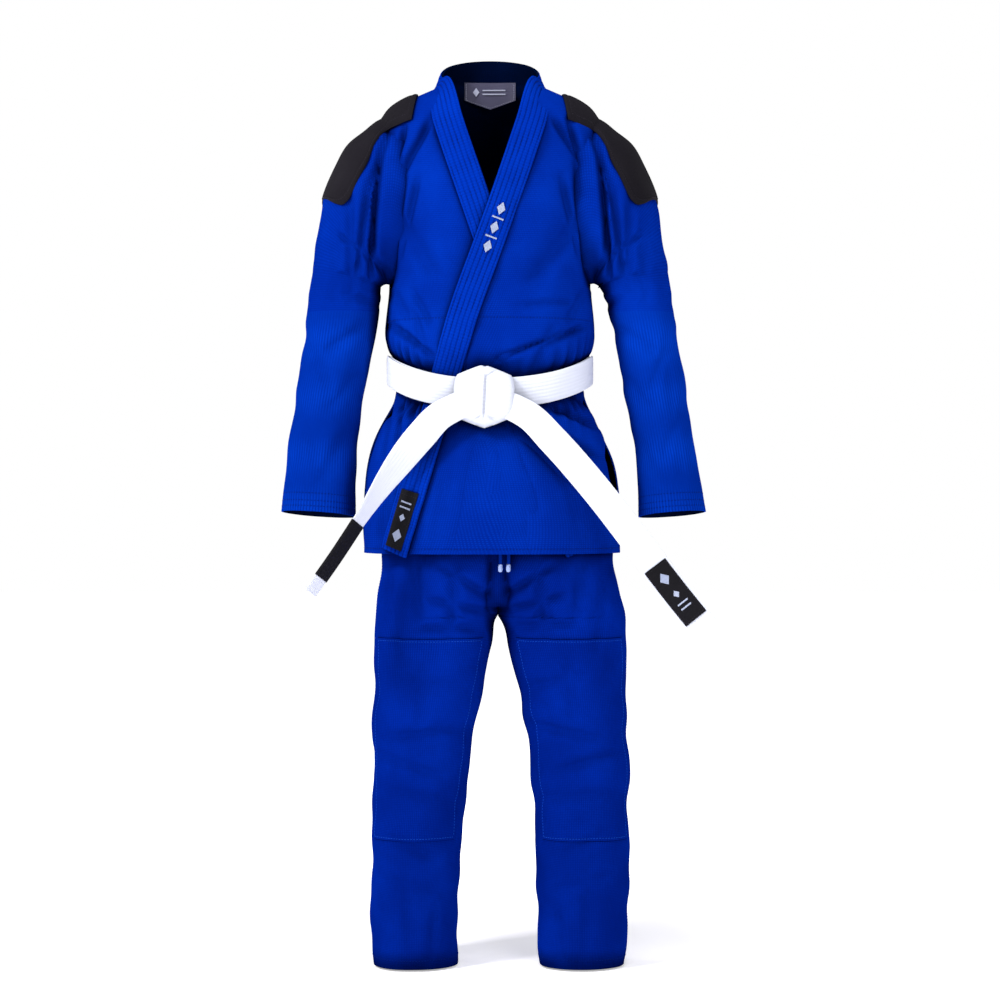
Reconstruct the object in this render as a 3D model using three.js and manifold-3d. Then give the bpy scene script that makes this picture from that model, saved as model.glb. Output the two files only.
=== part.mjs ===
// Martial arts uniform: a crossover jacket, straight trousers and a belt tied twice
// round the waist. Millimetres, +Z up. The front faces -Y and the wearer's left is +X.
// The origin lies between the shoulders, where the jacket rests on its wearer.
import * as THREE from 'three';
import { mergeVertices } from 'three/addons/utils/BufferGeometryUtils.js';
import Module from 'manifold-3d';

const wasm = await Module();
wasm.setup();

// ---- Driving dimensions -------------------------------------------------------

// Cloth
const jacketWall = 2.4;
const trouserWall = 1.8;
const tapeWall = 1.4;
const padThickness = 7;
const clearance = 0.35; // between pieces that touch
const looseness = 1.2; // between layers that lie on each other

// Jacket
const jacketLength = 702;
const neckWidth = 186;
const shoulderWidth = 342;
const chestWidth = 312;
const chestDepth = 238;
const waistWidth = 284;
const waistDepth = 214;
const skirtWidth = 400;
const skirtDepth = 286;
const armpitDrop = 285;
const waistDrop = 440;
const skirtHingeDrop = 490;
const ventWidth = 26;
const ventDrop = 500;

// Collar and lapels
const lapelWidth = 46;
const lapelThickness = 7;
const lapelCoreThickness = 4;
const neckV = 150; // how far the V reaches below the shoulders
const collarStand = 60;

// Sleeves
const sleeveWidth = 100;
const cuffWidth = 110;
const sleeveLength = 354; // from armpit to cuff
const elbowDrop = 375;
const elbowBend = 80; // degrees
const cuffTapeHeight = 32;

// Belt
const beltWidth = 45;
const beltThickness = 4;
const beltSideDrop = 421;
const beltFrontDip = 40;
const knotWidth = 88;
const knotHeight = 96;
const knotThickness = 26;
const heelDepth = 14; // how deep the knot's lower back is cut away
const rightTailLength = 325;
const leftTailLength = 411;
const rightTailSwing = 35.5; // degrees outward from straight down
const leftTailSwing = 39;
const tailLean = 7; // degrees that the tails stand off the skirt
const tailStandOff = 12; // the tails' roots lie this far off the belt's face
const barLength = 100;
const barSetback = 25;
const beltLabelWidth = 38;
const beltLabelSetback = 20;

// Trousers
const trouserShift = 12; // the trousers hang this far to the wearer's left
const trouserLength = 880; // waist to hem
const waistbandDrop = 456;
const waistbandHeight = 38;
const waistbandRoom = 23; // the waistband lies this far inside the jacket
const hipWidth = 356;
const hipDepth = 238;
const crotchDrop = 797;
const kneeDrop = 985;
const kneeBend = 80; // degrees
const kneeWidth = 154;
const legHemWidth = 132;
const hemTapeHeight = 14;
const kneePatchLength = 310;
const cordRadius = 2.6;
const tipRadius = 3.4;
const tipLength = 12;

// ---- Solids -------------------------------------------------------------------

const up = new THREE.Vector3(0, 0, 1);
const sideways = new THREE.Vector3(1, 0, 0);
const backward = new THREE.Vector3(0, 1, 0);
const point = (x, y, z) => new THREE.Vector3(x, y, z);
const radians = THREE.MathUtils.degToRad;

// The geometry of vertices and triangles, turned so that its faces point outward.
function geometryOf(points, triangles) {
  let volume = 0;
  for (const [i, j, k] of triangles) {
    volume += points[i].dot(points[j].clone().cross(points[k])) / 6;
  }
  const faces = volume < 0 ? triangles.map(([i, j, k]) => [i, k, j]) : triangles;
  const geometry = new THREE.BufferGeometry();
  geometry.setAttribute(
    'position',
    new THREE.Float32BufferAttribute(points.flatMap((p) => p.toArray()), 3),
  );
  geometry.setIndex(faces.flat());
  return geometry;
}

// The quads between two rings that start at vertex i and vertex j.
function band(i, j, count) {
  const triangles = [];
  for (let k = 0; k < count; k += 1) {
    const next = (k + 1) % count;
    triangles.push([i + k, i + next, j + next], [i + k, j + next, j + k]);
  }
  return triangles;
}

// A solid through a row of rings, closed by a fan at each end.
function loft(rings) {
  const count = rings[0].length;
  const points = rings.flat();
  const triangles = [];
  for (let r = 0; r + 1 < rings.length; r += 1) {
    triangles.push(...band(r * count, (r + 1) * count, count));
  }
  for (const [ring, start, flip] of [
    [rings[0], 0, true],
    [rings.at(-1), (rings.length - 1) * count, false],
  ]) {
    const middle = points.length;
    const sum = ring.reduce((total, p) => total.add(p), point(0, 0, 0));
    points.push(sum.divideScalar(count));
    for (let k = 0; k < count; k += 1) {
      const [a, b] = [start + k, start + ((k + 1) % count)];
      triangles.push(flip ? [middle, b, a] : [middle, a, b]);
    }
  }
  return geometryOf(points, triangles);
}

// A hollow tube, open at both ends, between outer rings and as many inner rings.
function tube(outer, inner) {
  const count = outer[0].length;
  const points = [...outer.flat(), ...inner.flat()];
  const start = outer.length * count;
  const last = (outer.length - 1) * count;
  const triangles = [];
  for (let r = 0; r + 1 < outer.length; r += 1) {
    triangles.push(...band(r * count, (r + 1) * count, count));
    const inside = band(start + r * count, start + (r + 1) * count, count);
    triangles.push(...inside.map(([i, j, k]) => [i, k, j]));
  }
  triangles.push(...band(start, 0, count), ...band(last, start + last, count));
  return geometryOf(points, triangles);
}

// A solid through a row of rings that comes back to its first ring.
function loop(rings) {
  const count = rings[0].length;
  const triangles = rings.flatMap((ring, r) =>
    band(r * count, ((r + 1) % rings.length) * count, count),
  );
  return geometryOf(rings.flat(), triangles);
}

function solid(geometry) {
  const bare = geometry.clone();
  bare.deleteAttribute('normal');
  bare.deleteAttribute('uv');
  const merged = mergeVertices(bare, 1e-4);
  return new wasm.Manifold(
    new wasm.Mesh({
      numProp: 3,
      vertProperties: new Float32Array(merged.attributes.position.array),
      triVerts: new Uint32Array(merged.index.array),
    }),
  );
}

// The largest body of a solid, without the slivers that a cut can leave.
function body(cut) {
  const largest = cut.decompose().sort((a, b) => b.volume() - a.volume())[0];
  const mesh = largest.getMesh();
  const geometry = new THREE.BufferGeometry();
  geometry.setAttribute(
    'position',
    new THREE.BufferAttribute(new Float32Array(mesh.vertProperties), 3),
  );
  geometry.setIndex(new THREE.BufferAttribute(new Uint32Array(mesh.triVerts), 1));
  return geometry;
}

// A box between two corners, as a solid.
function block(low, high) {
  const size = high.clone().sub(low);
  const box = new THREE.BoxGeometry(size.x, size.y, size.z);
  const middle = low.clone().add(high).multiplyScalar(0.5);
  return solid(box.translate(middle.x, middle.y, middle.z));
}

// An outline of [x, z] points, extruded from the depth `front` to the depth `back`.
function prism(outline, front, back) {
  const shape = new THREE.Shape(outline.map(([x, z]) => new THREE.Vector2(x, z)));
  const geometry = new THREE.ExtrudeGeometry(shape, {
    depth: back - front,
    bevelEnabled: false,
  });
  return geometry.rotateX(Math.PI / 2).translate(0, back, 0);
}

const group = new THREE.Group();

function piece(name, geometry, look) {
  const mesh = new THREE.Mesh(geometry, new THREE.MeshStandardMaterial(look));
  mesh.name = name;
  group.add(mesh);
}

const jacketLook = { color: 0x0638b1, roughness: 0.9, metalness: 0 };
const trouserLook = { color: 0x022aa3, roughness: 0.85, metalness: 0 };
const padLook = { color: 0x2a272e, roughness: 0.8, metalness: 0 };
const patchLook = { color: 0x1f1d22, roughness: 0.7, metalness: 0 };
const beltLook = { color: 0xf2f0ee, roughness: 0.8, metalness: 0 };
const foamLook = { color: 0x30333a, roughness: 0.9, metalness: 0 };
const labelLook = { color: 0x77758a, roughness: 0.7, metalness: 0 };
const cordLook = { color: 0x0638b1, roughness: 0.8, metalness: 0 };

// ---- Forms --------------------------------------------------------------------

// A form is a list of rows [z, centre x, half width, half depth], from the top down.
// Between two rows its values run straight.
function formAt(form, z) {
  let n = 1;
  while (n < form.length - 1 && z < form[n][0]) n += 1;
  const [above, below] = [form[n - 1], form[n]];
  const share = (above[0] - z) / (above[0] - below[0]);
  return above.map((value, k) => value + share * (below[k] - value));
}

// A rounded section: its middle, two unit directions and two half sizes. A power over
// 2 squares it off.
function ring(middle, across, along, half, depth, power = 2.3, count = 26) {
  const points = [];
  for (let k = 0; k < count; k += 1) {
    const angle = (2 * Math.PI * k) / count;
    const [c, s] = [Math.cos(angle), Math.sin(angle)];
    const u = half * Math.sign(c) * Math.abs(c) ** (2 / power);
    const v = depth * Math.sign(s) * Math.abs(s) ** (2 / power);
    points.push(middle.clone().addScaledVector(across, u).addScaledVector(along, v));
  }
  return points;
}

function level(form, z, grow, count) {
  const [, x, half, depth] = formAt(form, z);
  return ring(point(x, 0, z), sideways, backward, half + grow, depth + grow, 2.3, count);
}

// The heights at which a form is cut between two heights: its own rows and the ends.
function heights(form, top, bottom) {
  const rows = form.map((row) => row[0]).filter((z) => z < top - 4 && z > bottom + 4);
  return [top, ...rows, bottom];
}

// A tube of cloth along a form, its outer face `grow` outside the form.
function sleeveOf(form, top, bottom, wall, grow = 0, count = 26) {
  const rows = heights(form, top, bottom);
  return tube(
    rows.map((z) => level(form, z, grow, count)),
    rows.map((z) => level(form, z, grow - wall, count)),
  );
}

// A level ring of a sleeve, begun where the rings of its head begin.
function sleeveRing(form, z, side, grow) {
  const [, x, half, depth] = formAt(form, z);
  const across = point(side, 0, 0);
  return ring(point(x, 0, z), across, backward, half + grow, depth + grow, 2.1, 20);
}

function mirrored(form) {
  return form.map(([z, x, half, depth]) => [z, -x, half, depth]);
}

// ---- Jacket body --------------------------------------------------------------

const jacketForm = [
  [4, 0, neckWidth / 2, 56],
  [-8, 0, neckWidth / 2 + 27, 69],
  [-18, 0, shoulderWidth / 2 - 29, 78],
  [-34, 0, shoulderWidth / 2 - 6, 89],
  [-70, 0, shoulderWidth / 2, 101],
  [-140, 0, shoulderWidth / 2 - 1, 113],
  [-230, 0, (shoulderWidth + chestWidth) / 4 - 1, 119],
  [-armpitDrop, 0, chestWidth / 2, chestDepth / 2],
  [-armpitDrop - 55, 0, chestWidth / 2 + 2, chestDepth / 2 - 1],
  [-waistDrop + 42, 0, waistWidth / 2 + 8, waistDepth / 2 + 6],
  [-waistDrop, 0, waistWidth / 2, waistDepth / 2],
  [-skirtHingeDrop + 2, 0, waistWidth / 2 + 4, waistDepth / 2 + 1],
  [-skirtHingeDrop - 20, 0, skirtWidth / 2 - 28, skirtDepth / 2 - 20],
  [-skirtHingeDrop - 50, 0, skirtWidth / 2 - 14, skirtDepth / 2 - 11],
  [-skirtHingeDrop - 110, 0, skirtWidth / 2 - 2, skirtDepth / 2 - 2],
  [-jacketLength, 0, skirtWidth / 2, skirtDepth / 2],
];
const shoulderTop = -70; // above this height the form closes in over the shoulders

// The jacket's body as one solid, its skin `grow` outside the form.
function torso(grow) {
  const rings = jacketForm.map(([z, , half, depth]) => {
    const rise = z > shoulderTop ? 1 : 0;
    return ring(point(0, 0, z + grow * rise), sideways, backward, half + grow, depth + grow);
  });
  return solid(loft(rings));
}

// The depth of the jacket's front skin at a place, `grow` outside the form.
function frontSkin(x, z, grow) {
  const [, , half, depth] = formAt(jacketForm, z);
  const share = Math.min(Math.abs(x) / (half + grow), 0.98);
  return -(depth + grow) * (1 - share ** 2.3) ** (1 / 2.3);
}

// ---- Sleeves ------------------------------------------------------------------

// The sleeve's head fans about the armpit: rows [angle from upright, reach, half depth].
const armpit = point(chestWidth / 2 + 4, 0, -armpitDrop - 7);
const armpitInset = 7;
const headRows = [
  [-12, 228, 70],
  [0, 248, 78],
  [15, 228, 80],
  [32, 174, 76],
  [47, 142, 70],
  [62, 125, 64],
  [78, 118, 59],
];
const headRowsInBody = 5; // rows of the head that bend at the armhole
const sleeveForm = [
  [-armpitDrop - 7, armpit.x + 64, sleeveWidth / 2 + 5, 56],
  [-elbowDrop, armpit.x + 80, sleeveWidth / 2, 52],
  [-armpitDrop - 245, armpit.x + 104, sleeveWidth / 2, 50],
  [-armpitDrop - sleeveLength, armpit.x + 114, cuffWidth / 2, 51],
];
const elbowFold = (sleeveWidth / 2 + 5) * Math.tan(radians(elbowBend / 2)) + 2;

// One ring of the sleeve's head. `side` is 1 for the wearer's left and -1 for the
// right, `grow` is as above and `slip` moves the ring along the sleeve.
function headRing([angle, reach, depth], side, grow, slip = 0) {
  const out = point(side * Math.sin(radians(angle)), 0, Math.cos(radians(angle)));
  const along = point(side * Math.cos(radians(angle)), 0, -Math.sin(radians(angle)));
  const half = (reach - armpitInset) / 2;
  const middle = point(side * armpit.x, 0, armpit.z)
    .addScaledVector(out, armpitInset + half)
    .addScaledVector(along, slip);
  return ring(middle, out, backward, half + grow, depth + grow, 2.1, 20);
}

function head(side, grow) {
  return solid(loft(headRows.map((row) => headRing(row, side, grow))));
}

const heads = [1, -1].map((side) => head(side, clearance));
const torsoSkin = torso(0);
const torsoHollow = torso(-jacketWall);

// ---- Collar and lapels --------------------------------------------------------

// The lapel's middle line on the wearer's left: across at a height.
function lapelX(z) {
  const v = -neckV;
  const upper = THREE.MathUtils.mapLinear(z, v, 11, 28, 82);
  const lower = THREE.MathUtils.mapLinear(z, v, -340, 28, -39);
  const skirt = THREE.MathUtils.mapLinear(z, -340, -jacketLength, -39, -142);
  return z > v ? upper : z > -340 ? lower : skirt;
}

// A strap's station: its middle, the unit direction across it and the one out of it.
function station(middle, across, out) {
  return { middle, across: across.normalize(), out: out.normalize() };
}

// A station of a lapel on the jacket's front at a height. `side` is 1 for the lapel that
// comes down from the wearer's left shoulder.
function lapelStation(side, z, grow) {
  const at = (height, shift) => {
    const x = side * lapelX(height) + shift;
    return point(x, frontSkin(x, height, grow), height);
  };
  const slope = at(z + 6, 0).sub(at(z - 6, 0)).normalize();
  const flat = at(z, 6).sub(at(z, -6)).normalize();
  const out = slope.clone().cross(flat);
  if (out.y > 0) out.negate();
  return station(at(z, 0), out.clone().cross(slope), out);
}

function strapRings(stations, width, thickness) {
  return stations.map(({ middle, across, out }) =>
    [[-1, -1], [1, -1], [1, 1], [-1, 1]].map(([u, v]) =>
      middle
        .clone()
        .addScaledVector(across, (u * width) / 2)
        .addScaledVector(out, (v * thickness) / 2),
    ),
  );
}

const outerLapel = lapelThickness / 2 - jacketWall + 0.6;
const innerLapel = -jacketWall - clearance - looseness - lapelThickness / 2 - 1;

// The stand of the collar round the back of the neck, from the left to the right.
function neckStations() {
  const stations = [];
  const tilt = radians(12);
  for (const degrees of [-28, 0, 30, 60, 90, 120, 150, 180, 208]) {
    const angle = radians(degrees);
    const back = Math.max(Math.sin(angle), 0);
    const out = point(Math.cos(angle), Math.sin(angle), 0);
    const middle = point(
      (neckWidth / 2 - 10) * Math.cos(angle),
      62 * Math.sin(angle),
      14 + (collarStand - lapelWidth / 2 - 14) * back,
    );
    const lean = tilt + (1 - back) * radians(22);
    const across = up.clone().multiplyScalar(Math.cos(lean));
    across.addScaledVector(out, -Math.sin(lean));
    const face = out.clone().multiplyScalar(Math.cos(lean));
    face.addScaledVector(up, Math.sin(lean));
    stations.push(station(middle, across, face));
  }
  return stations;
}

function collarStations() {
  const chest = [-40, -78, -115, -150, -190, -250, -315, -380, -430, -skirtHingeDrop + 1];
  const left = chest.map((z) => lapelStation(1, z, outerLapel)).reverse();
  const right = chest.map((z, n) => {
    const share = Math.min(n / 3, 1);
    return lapelStation(-1, z, THREE.MathUtils.lerp(outerLapel, innerLapel, share));
  });
  left.forEach((s) => s.across.x < 0 || s.across.negate());
  right.forEach((s) => s.across.x > 0 || s.across.negate());
  return [...left, ...neckStations(), ...right];
}

const collarPath = collarStations();
piece(
  'collar_band',
  tube(
    strapRings(collarPath, lapelWidth, lapelThickness),
    strapRings(collarPath, lapelWidth - 3, lapelCoreThickness + 2 * clearance),
  ),
  jacketLook,
);
piece(
  'collar_core',
  loft(strapRings(collarPath, lapelWidth - 3 - 2 * clearance, lapelCoreThickness)),
  foamLook,
);

// ---- Jacket panels ------------------------------------------------------------

const far = 400;
const collarRoom = solid(
  loft(strapRings(collarPath, lapelWidth + 2 * clearance, lapelThickness + 2 * clearance)),
);
const neckHole = solid(
  loft([-60, collarStand + 40].map((z) => ring(point(0, 4, z), sideways, backward, 80, 56))),
);
const hingeTop = -skirtHingeDrop + clearance / 2;
const hingeBottom = -skirtHingeDrop - clearance / 2;
const upperRoom = block(point(-far, -far, hingeTop), point(far, far, far));
const backHalf = block(point(-far, clearance / 2, -far * 2), point(far, far, far));
const frontHalf = block(point(-far, -far, -far * 2), point(far, -clearance / 2, far));

// The room on one side of a lapel's middle line: the cloth that the lapel borders.
function lapelSide(side) {
  const line = [60, 11, -neckV, -340, -jacketLength - 40].map((z) => [side * lapelX(z), z]);
  const edge = [[side * far, -jacketLength - 40], [side * far, 60]];
  return solid(prism([...line, ...edge], -far, far));
}

function withoutHeads(cut) {
  return cut.subtract(heads[0]).subtract(heads[1]);
}

const inset = -jacketWall - clearance - looseness;
const skin = torsoSkin.subtract(torsoHollow);
const underSkin = torso(inset).subtract(torso(inset - jacketWall));
const leftFront = skin.intersect(frontHalf).intersect(lapelSide(1)).subtract(collarRoom);
const rightFront = underSkin.intersect(frontHalf).intersect(lapelSide(-1)).subtract(collarRoom);
const back = skin.intersect(backHalf).subtract(neckHole).subtract(collarRoom);

piece('back_panel', body(withoutHeads(back.intersect(upperRoom))), jacketLook);
piece('left_front_panel', body(withoutHeads(leftFront.intersect(upperRoom))), jacketLook);
piece('right_front_panel', body(withoutHeads(rightFront.intersect(upperRoom))), jacketLook);

// The maker's label inside the back of the neck.
const labelBack = 52.6;
const label = [[-40, 26], [-40, -2], [0, -16], [40, -2], [40, 26]];
piece(
  'neck_label',
  prism(label.map(([x, z]) => [x, z - 2]), labelBack - tapeWall, labelBack),
  labelLook,
);

// ---- Skirt --------------------------------------------------------------------

const vents = [1, -1].map((side) =>
  solid(
    loft(
      [[-ventDrop, 0.4], [-jacketLength - 20, ventWidth / 2]].map(([z, half]) =>
        ring(point((side * skirtWidth) / 2, 0, z), sideways, backward, 60, half, 2, 12),
      ),
    ),
  ),
);
const skirtRoom = block(point(-far, -far, -far * 2), point(far, far, hingeBottom));
const skirtPath = [-skirtHingeDrop - 7, -530, -580, -640, -jacketLength + 3];

function skirtLapel(side, grow) {
  const stations = skirtPath.map((z) => lapelStation(side, z, grow));
  stations.forEach((s) => s.across.x * side < 0 || s.across.negate());
  return stations;
}

const skirts = [
  ['left', 1, outerLapel + 1.6, leftFront],
  ['right', -1, innerLapel - 1, rightFront],
];
for (const [name, side, grow, cloth] of skirts) {
  const path = skirtLapel(side, grow);
  const room = strapRings(path, lapelWidth + 2 * clearance, lapelThickness + 2 * clearance);
  const flap = cloth.intersect(skirtRoom).subtract(vents[0]).subtract(vents[1]);
  piece(`${name}_front_skirt`, body(flap.subtract(solid(loft(room)))), jacketLook);
  piece(
    `${name}_skirt_lapel`,
    tube(
      strapRings(path, lapelWidth, lapelThickness),
      strapRings(path, lapelWidth - 3, lapelCoreThickness + 2 * clearance),
    ),
    jacketLook,
  );
  const core = strapRings(path, lapelWidth - 3 - 2 * clearance, lapelCoreThickness);
  piece(`${name}_skirt_core`, loft(core), foamLook);
}
const backSkirt = back.intersect(skirtRoom).subtract(vents[0]).subtract(vents[1]);
piece('back_skirt', body(backSkirt), jacketLook);

// The patch sewn over the lower end of the left lapel.
const patchLength = 88;
const patchWidth = 29;
const patchStations = [10, 62, 10 + patchLength].map((rise) =>
  lapelStation(1, -jacketLength + rise, outerLapel + 1.6),
);
patchStations.forEach((s) => s.middle.addScaledVector(s.out, lapelThickness / 2 + 2.2));
piece('lapel_patch', loft(strapRings(patchStations, patchWidth, tapeWall)), patchLook);

// ---- Sleeves and shoulders ----------------------------------------------------

const shoulderPadOutline = [
  [118, 30], [121, -36], [174, -53], [184, -87], [203, -116], [211, -153],
  [228, -168], [246, -160], [300, -130], [300, 30],
];
for (const [name, side, hand] of [['left', 1, 0], ['right', -1, 1]]) {
  const form = side > 0 ? sleeveForm : mirrored(sleeveForm);
  const fold = headRows.slice(0, headRowsInBody + 1);
  const last = fold.length - 1;
  const foldRing = (row, n, grow) => headRing(row, side, grow, n === last ? -clearance : 0);
  const foldSkin = solid(loft(fold.map((row, n) => foldRing(row, n, 0))));
  const foldHollow = solid(loft(fold.map((row, n) => foldRing(row, n, -jacketWall))));
  const mouth = [-8, 6].map((slip) => headRing(fold[last], side, -jacketWall, slip));
  const hollow = foldHollow.add(solid(loft(mouth)));
  const armhole = foldSkin.subtract(hollow).subtract(torso(clearance));
  piece(`${name}_armhole_fold`, body(armhole), jacketLook);

  const top = [headRows[last], ...headRows.slice(last + 1)];
  const elbowTop = -elbowDrop + elbowFold;
  const elbowBottom = -elbowDrop - elbowFold;
  const rows = heights(form, form[0][0], elbowTop);
  const upper = (grow) => [
    ...top.map((row) => headRing(row, side, grow)),
    ...rows.map((z) => sleeveRing(form, z, side, grow)),
  ];
  piece(`${name}_upper_sleeve`, tube(upper(0), upper(-jacketWall)), jacketLook);
  const cuff = -armpitDrop - sleeveLength;
  piece(
    `${name}_elbow_fold`,
    sleeveOf(form, elbowTop - clearance, elbowBottom + clearance, jacketWall, 0, 20),
    jacketLook,
  );
  piece(
    `${name}_lower_sleeve`,
    sleeveOf(form, elbowBottom, cuff, jacketWall, 0, 20),
    jacketLook,
  );
  piece(
    `${name}_cuff_tape`,
    sleeveOf(form, cuff + cuffTapeHeight, cuff + 1, tapeWall, -jacketWall - clearance, 20),
    jacketLook,
  );

  const outline = shoulderPadOutline.map(([x, z]) => [side * x, z]);
  const padSkin = torso(padThickness).add(head(side, padThickness));
  const padBase = torso(clearance).add(head(side, clearance));
  const pad = padSkin.subtract(padBase).intersect(solid(prism(outline, -130, 130)));
  piece(`${name}_shoulder_pad`, body(pad.subtract(collarRoom)), padLook);
}

// ---- Belt ---------------------------------------------------------------------

const beltSteps = 40;
const beltSeat = 9.5; // the belt lies over the lapel

function beltRings(grow, thickness) {
  const rings = [];
  for (let k = 0; k < beltSteps; k += 1) {
    const angle = (2 * Math.PI * k) / beltSteps;
    const front = Math.max(-Math.sin(angle), 0);
    const z = -beltSideDrop - beltFrontDip * front ** 1.5;
    const [, , half, depth] = formAt(jacketForm, -waistDrop);
    const [a, b] = [half + beltSeat + grow, depth + beltSeat + grow];
    const flat = (c) => Math.sign(c) * Math.abs(c) ** (2 / 2.3);
    const spot = (extra) =>
      point((a + extra) * flat(Math.cos(angle)), (b + extra) * flat(Math.sin(angle)), z);
    const low = point(0, 0, -beltWidth / 2);
    const high = point(0, 0, beltWidth / 2);
    rings.push([
      spot(0).add(low),
      spot(thickness).add(low),
      spot(thickness).add(high),
      spot(0).add(high),
    ]);
  }
  return rings;
}
piece('belt_inner_wrap', loop(beltRings(0, beltThickness)), beltLook);
const outerWrap = beltThickness + clearance;
piece('belt_outer_wrap', loop(beltRings(outerWrap, beltThickness)), beltLook);

const beltFace = -(waistDepth / 2 + beltSeat + 2 * beltThickness + clearance);
const knotX = -8;
const knotZ = -beltSideDrop - beltFrontDip - 4;
const [kw, kh] = [knotWidth / 2, knotHeight / 2];
const knotHalf = [
  [0, kh], [kw * 0.3, kh], [kw * 0.9, kh * 0.62], [kw, kh * 0.2], [kw, -kh * 0.7],
  [kw * 0.2, -kh], [0, -kh],
];
const knotRight = knotHalf.slice(1, -1).map(([x, z]) => [-x, z]).reverse();
const knotOutline = [...knotHalf.slice(1, -1), ...knotRight].map(([x, z]) => [
  knotX + x,
  knotZ + z,
]);
const knotBack = beltFace - clearance;

// The knot's lower back is cut away on a slope, so that the skirt can lift under it.
const heelTop = -skirtHingeDrop - 6;
const heelBottom = knotZ - kh - 1;
const heel = [-kw - 1, kw + 1].map((x) =>
  [[1, heelTop + 1], [-heelDepth, heelBottom], [1, heelBottom]].map(([y, z]) =>
    point(knotX + x, knotBack + y, z),
  ),
);
const knotSolid = solid(prism(knotOutline, knotBack - knotThickness, knotBack));
piece('belt_knot', body(knotSolid.subtract(solid(loft(heel)))), beltLook);

// A tail lies flat in a plane that leans off the skirt. It starts with a round end at
// its root, beside the knot, and is swung outward from straight down.
function beltTail(side, degrees, length) {
  const root = point(
    knotX + side * (kw + beltWidth / 2 + clearance),
    beltFace - tailStandOff - beltThickness,
    -skirtHingeDrop - 4,
  );
  const lean = new THREE.Matrix4().makeRotationX(radians(-tailLean));
  const swing = new THREE.Matrix4().makeRotationY(radians(-side * degrees));
  const place = new THREE.Matrix4().makeTranslation(root.x, root.y, root.z);
  return { place: place.multiply(lean).multiply(swing), length };
}

// A strip of a tail between two runs from its root, `lift` in front of the tail's back.
function tailStrip({ place }, from, to, width, thickness, lift) {
  const box = new THREE.BoxGeometry(width, thickness, to - from);
  return box.translate(0, -lift - thickness / 2, -(from + to) / 2).applyMatrix4(place);
}

function tailStrap({ place, length }) {
  const half = beltWidth / 2;
  const shape = new THREE.Shape();
  shape.absarc(0, 0, half, 0, Math.PI);
  shape.lineTo(-half, -length);
  shape.lineTo(half, -length);
  const strap = new THREE.ExtrudeGeometry(shape, {
    depth: beltThickness,
    bevelEnabled: false,
    curveSegments: 16,
  });
  return strap.rotateX(Math.PI / 2).applyMatrix4(place);
}
const tails = {
  right: beltTail(-1, rightTailSwing, rightTailLength),
  left: beltTail(1, leftTailSwing, leftTailLength),
};
for (const [name, tail] of Object.entries(tails)) {
  piece(`${name}_belt_tail`, tailStrap(tail), beltLook);
}
const onTail = beltThickness + clearance;
const barEnd = rightTailLength - barSetback;
piece(
  'rank_bar',
  tailStrip(tails.right, barEnd - barLength, barEnd, beltWidth, tapeWall, onTail),
  patchLook,
);
const labelEnd = leftTailLength - beltLabelSetback;
piece(
  'belt_label',
  tailStrip(tails.left, labelEnd - barLength, labelEnd, beltLabelWidth, tapeWall, onTail),
  patchLook,
);

// ---- Trousers -----------------------------------------------------------------

const seatForm = [
  [
    -waistbandDrop + waistbandHeight / 2,
    trouserShift / 2,
    waistWidth / 2 - waistbandRoom,
    waistDepth / 2 - waistbandRoom,
  ],
  [
    -waistbandDrop - waistbandHeight,
    trouserShift / 2,
    waistWidth / 2 - waistbandRoom + 9,
    waistDepth / 2 - waistbandRoom + 6,
  ],
  [-570, trouserShift - 2, hipWidth / 2 - 12, hipDepth / 2 - 7],
  [-650, trouserShift, hipWidth / 2 - 3, hipDepth / 2 - 2],
  [-706, trouserShift, hipWidth / 2, hipDepth / 2],
];
const hemZ = -waistbandDrop - trouserLength;
const legForm = (side) =>
  [
    [-706, 57, hipWidth / 2 - 57, hipDepth / 2],
    [-745, 72, hipWidth / 2 - 64, hipDepth / 2 - 4],
    [-crotchDrop, 99, 98, hipDepth / 2 - 14],
    [-crotchDrop - 50, 104, 92, hipDepth / 2 - 21],
    [-kneeDrop, 121, kneeWidth / 2, kneeWidth / 2 + 4],
    [-kneeDrop - 160, 128, legHemWidth / 2 + 6, legHemWidth / 2 + 8],
    [hemZ, 130, legHemWidth / 2, legHemWidth / 2 + 2],
  ].map(([z, x, half, depth]) => [z, trouserShift + side * x, half, depth]);

const waistbandTop = -waistbandDrop + waistbandHeight / 2;
const waistbandBottom = waistbandTop - waistbandHeight;
piece(
  'waistband',
  sleeveOf(seatForm, waistbandTop, waistbandBottom, trouserWall * 2, trouserWall),
  trouserLook,
);
const seatBottom = -706;
piece(
  'seat',
  sleeveOf(seatForm, waistbandBottom - clearance, seatBottom, trouserWall),
  trouserLook,
);

// The hips: one hollow that parts into two legs at the crotch.
const hipTop = seatBottom - clearance;
const hipBottom = -crotchDrop - 22;
function hips(grow, extra) {
  const [left, right] = [1, -1].map((side) => {
    const form = legForm(side);
    const rows = heights(form, hipTop + extra, hipBottom - extra);
    return solid(loft(rows.map((z) => level(form, z, grow, 20))));
  });
  return left.add(right);
}
const hipCloth = hips(0, 0).subtract(hips(-trouserWall, 5));
const gussetHalf = 26;
const gussetTop = -crotchDrop + 52;
const gussetOutline = (spare) => [
  [trouserShift, gussetTop + spare * 2],
  [trouserShift + gussetHalf + spare, -crotchDrop + 4],
  [trouserShift + gussetHalf + spare, -crotchDrop - 16 - spare],
  [trouserShift - gussetHalf - spare, -crotchDrop - 16 - spare],
  [trouserShift - gussetHalf - spare, -crotchDrop + 4],
];
piece(
  'crotch_gusset',
  body(hipCloth.intersect(solid(prism(gussetOutline(0), -far, far)))),
  trouserLook,
);
const kneeFold = (kneeWidth / 2 + 9) * Math.tan(radians(kneeBend / 2)) + 2;
const kneeTop = -kneeDrop + kneeFold;
const kneeBottom = -kneeDrop - kneeFold;
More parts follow.
